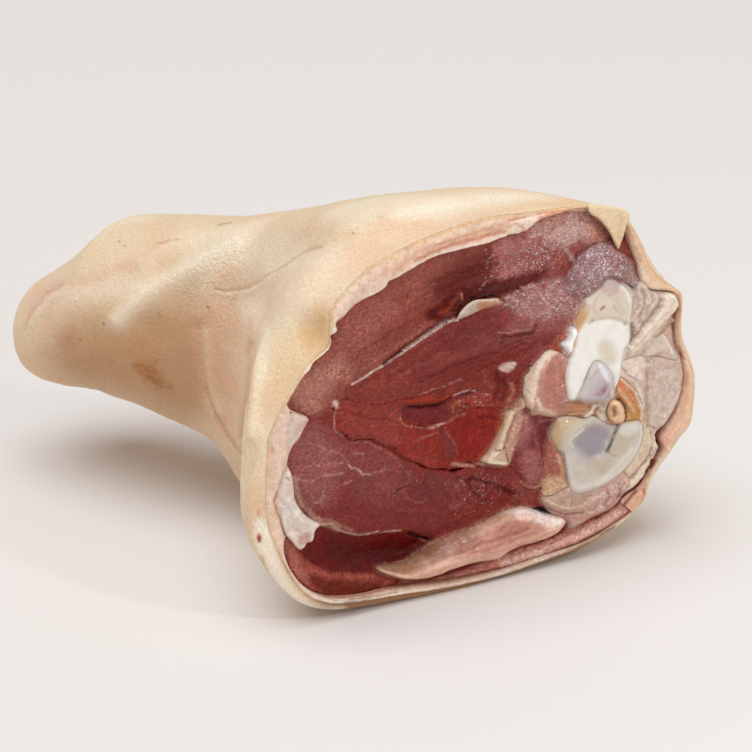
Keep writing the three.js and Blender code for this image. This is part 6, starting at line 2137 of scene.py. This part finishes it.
def painted_sparkles(tree, look, place, fibre, wet):
    """How strongly round sparkles show at each point. Cells draw whether they hold one, with a chance
    that grows with the wetness, and how bright it is."""
    size, strength = look["dots"]
    cells = new_node(tree, "ShaderNodeTexVoronoi", {"Vector": fibre, "Scale": 1 / size}).outputs
    random = new_node(tree, "ShaderNodeSeparateColor", {"Color": cells["Color"]}).outputs
    chance = ranged(tree, wet, 0.01, 0.62, 0.48, 1.0)
    patch = ranged(tree, speckle(tree, place, SPARKLE_PATCHES / 1000, 1.0), 0.2, 1.9, 0.35, 0.65)
    chance = combined(tree, "MULTIPLY", chance, patch)
    dot = ranged(tree, combined(tree, "ADD", random["Red"], chance), 0.0, 1.0, 1.0, 1.02)
    for factor in (
        ranged(tree, wet, 0.6 * strength, strength, 0.45, 0.95),
        ranged(tree, random["Green"], 0.15, 1.0),
        ranged(tree, cells["Distance"], 1.0, 0.0, *SPARKLE_EDGE),
    ):
        dot = combined(tree, "MULTIPLY", dot, factor)
    return dot


def grained(tree, look, fibre, grain):
    """Directions of the surface with its bumps, each size of them laid over the one before."""
    normal = None
    for size, amount in look["grain"]:
        inputs = {"Height": speckle(tree, fibre, size, 2.0, 0.8), "Strength": grain,
                  "Distance": amount * MILLIMETRE}
        if normal is not None:
            inputs["Normal"] = normal
        normal = new_node(tree, "ShaderNodeBump", inputs).outputs["Normal"]
    return normal


def make_material(name, look):
    """A moist surface: its colour and wetness come from the mesh, its mottling, streaks and grain from
    noise along its fibres, and some light passes through it. Where it is wet it has pale glints and
    dots, and patches of a clear film."""
    material = bpy.data.materials.new("raw_" + name)
    material.use_nodes = True
    tree = material.node_tree
    tree.nodes.clear()
    place = new_node(tree, "ShaderNodeTexCoord").outputs["Object"]
    wet = mesh_value(tree, "wet", "Fac")
    fibre = mesh_value(tree, "fibre", "Vector")
    factor = mottled(tree, look, place, fibre)
    shade = new_node(tree, "ShaderNodeVectorMath", {0: mesh_value(tree, "tint", "Color"), 1: factor},
                     operation="MULTIPLY").outputs[0]
    # painted highlights: glints and dots laid over the colour
    if "glints" in look:
        shade = laid_over(tree, glinting(tree, look, place, fibre, wet), shade, GLINT_TINT)
    if "dots" in look:
        shade = laid_over(tree, painted_sparkles(tree, look, place, fibre, wet), shade, SPARKLE_TINT)
    normal = grained(tree, look, fibre, mesh_value(tree, "grain", "Fac"))
    film = ranged(tree, speckle(tree, place, FILM_PATCHES / 1000), 0.0, 1.0, 0.35, 0.62)
    coat = ranged(tree, combined(tree, "MULTIPLY", wet, film), *look["coat"])
    shader = new_node(tree, "ShaderNodeBsdfPrincipled", {
        "Base Color": shade,
        "Roughness": ranged(tree, wet, *look["rough"]),
        "Specular IOR Level": look["specular"],
        "Subsurface Weight": look["scatter"],
        "Subsurface Radius": look["radius"],
        "Subsurface Scale": MILLIMETRE,
        "Coat Weight": coat,
        "Coat Roughness": look["coat_rough"],
        "Normal": normal,
        "Coat Normal": normal,
    })
    output = new_node(tree, "ShaderNodeOutputMaterial")
    tree.links.new(shader.outputs[0], output.inputs["Surface"])
    return material


# Floor, lights and camera

FLOOR_SIZE = 12.0
FLOOR_TINT = "e2dbd7"
WORLD_STRENGTH = 0.42
WORLD_TINT = (1.0, 0.87, 0.76)
SKY = (-0.03, -0.30, 1.0)  # the overhead light comes from there
SKY_STRENGTH = 2.42
SKY_TINT = (0.83, 0.93, 1.0)
SKY_SIZE = 60.0  # degrees
LIGHTS = [  # name, place and aim in metres, size in metres, power in watts
    ("front", (0.98, -0.42, 0.30), (0.05, 0.0, 0.06), (0.6, 0.35), 1.5),
    ("sparkle", (0.60, -0.08, 0.46), (0.05, 0.0, 0.05), (0.05, 0.05), 0.7),
]
LAMP_TINT = (0.93, 0.97, 1.0)


def make_floor():
    """A wide, plain, pale floor without shine."""
    half = FLOOR_SIZE / 2
    corners = [(-half, -half, 0), (half, -half, 0), (half, half, 0), (-half, half, 0)]
    mesh = bpy.data.meshes.new("floor")
    mesh.from_pydata(corners, [], [(0, 1, 2, 3)])
    material = bpy.data.materials.new("pale_floor")
    material.use_nodes = True
    shader = material.node_tree.nodes["Principled BSDF"]
    shader.inputs["Base Color"].default_value = (*colour(FLOOR_TINT), 1)
    shader.inputs["Roughness"].default_value = 1.0
    shader.inputs["Specular IOR Level"].default_value = 0.0
    mesh.materials.append(material)
    floor = bpy.data.objects.new("floor", mesh)
    bpy.context.scene.collection.objects.link(floor)


def aimed(place, target):
    """Turn that points an object's own minus z from its place to the target, with its y upwards."""
    return (Vector(target) - Vector(place)).to_track_quat("-Z", "Y").to_euler()


def make_lights():
    """Even surroundings, a large soft light overhead, a weaker one in front and a small bright one."""
    world = bpy.data.worlds.new("studio")
    world.use_nodes = True
    background = world.node_tree.nodes["Background"]
    background.inputs["Color"].default_value = (*WORLD_TINT, 1)
    background.inputs["Strength"].default_value = WORLD_STRENGTH
    bpy.context.scene.world = world
    sun = bpy.data.lights.new("overhead", "SUN")
    sun.energy = SKY_STRENGTH
    sun.color = SKY_TINT
    sun.angle = np.radians(SKY_SIZE)
    overhead = bpy.data.objects.new("overhead", sun)
    overhead.rotation_euler = aimed(SKY, (0, 0, 0))
    bpy.context.scene.collection.objects.link(overhead)
    for name, place, target, size, power in LIGHTS:
        lamp = bpy.data.lights.new(name, "AREA")
        lamp.shape = "RECTANGLE"
        lamp.size, lamp.size_y = size
        lamp.energy = power
        lamp.color = LAMP_TINT
        light = bpy.data.objects.new(name, lamp)
        light.location = place
        light.rotation_euler = aimed(place, target)
        bpy.context.scene.collection.objects.link(light)


def make_camera():
    """The photograph's camera."""
    settings = bpy.data.cameras.new("camera")
    settings.lens = CAMERA_LENS
    settings.sensor_width = CAMERA_SENSOR
    settings.clip_start = 0.01
    camera = bpy.data.objects.new("camera", settings)
    place = (CAMERA_PLACE + FRAME_SHIFT) / 1000
    target = (CAMERA_TARGET + FRAME_SHIFT) / 1000
    camera.location = place
    camera.rotation_euler = aimed(place, target)
    bpy.context.scene.collection.objects.link(camera)
    bpy.context.scene.camera = camera


materials = {name: make_material(name, look) for name, look in LOOKS.items()}
make_skin()
make_fat()
make_face()
for flap in FLAPS:
    make_flap(flap)
make_floor()
make_lights()
make_camera()
bpy.context.scene.view_settings.view_transform = "Standard"
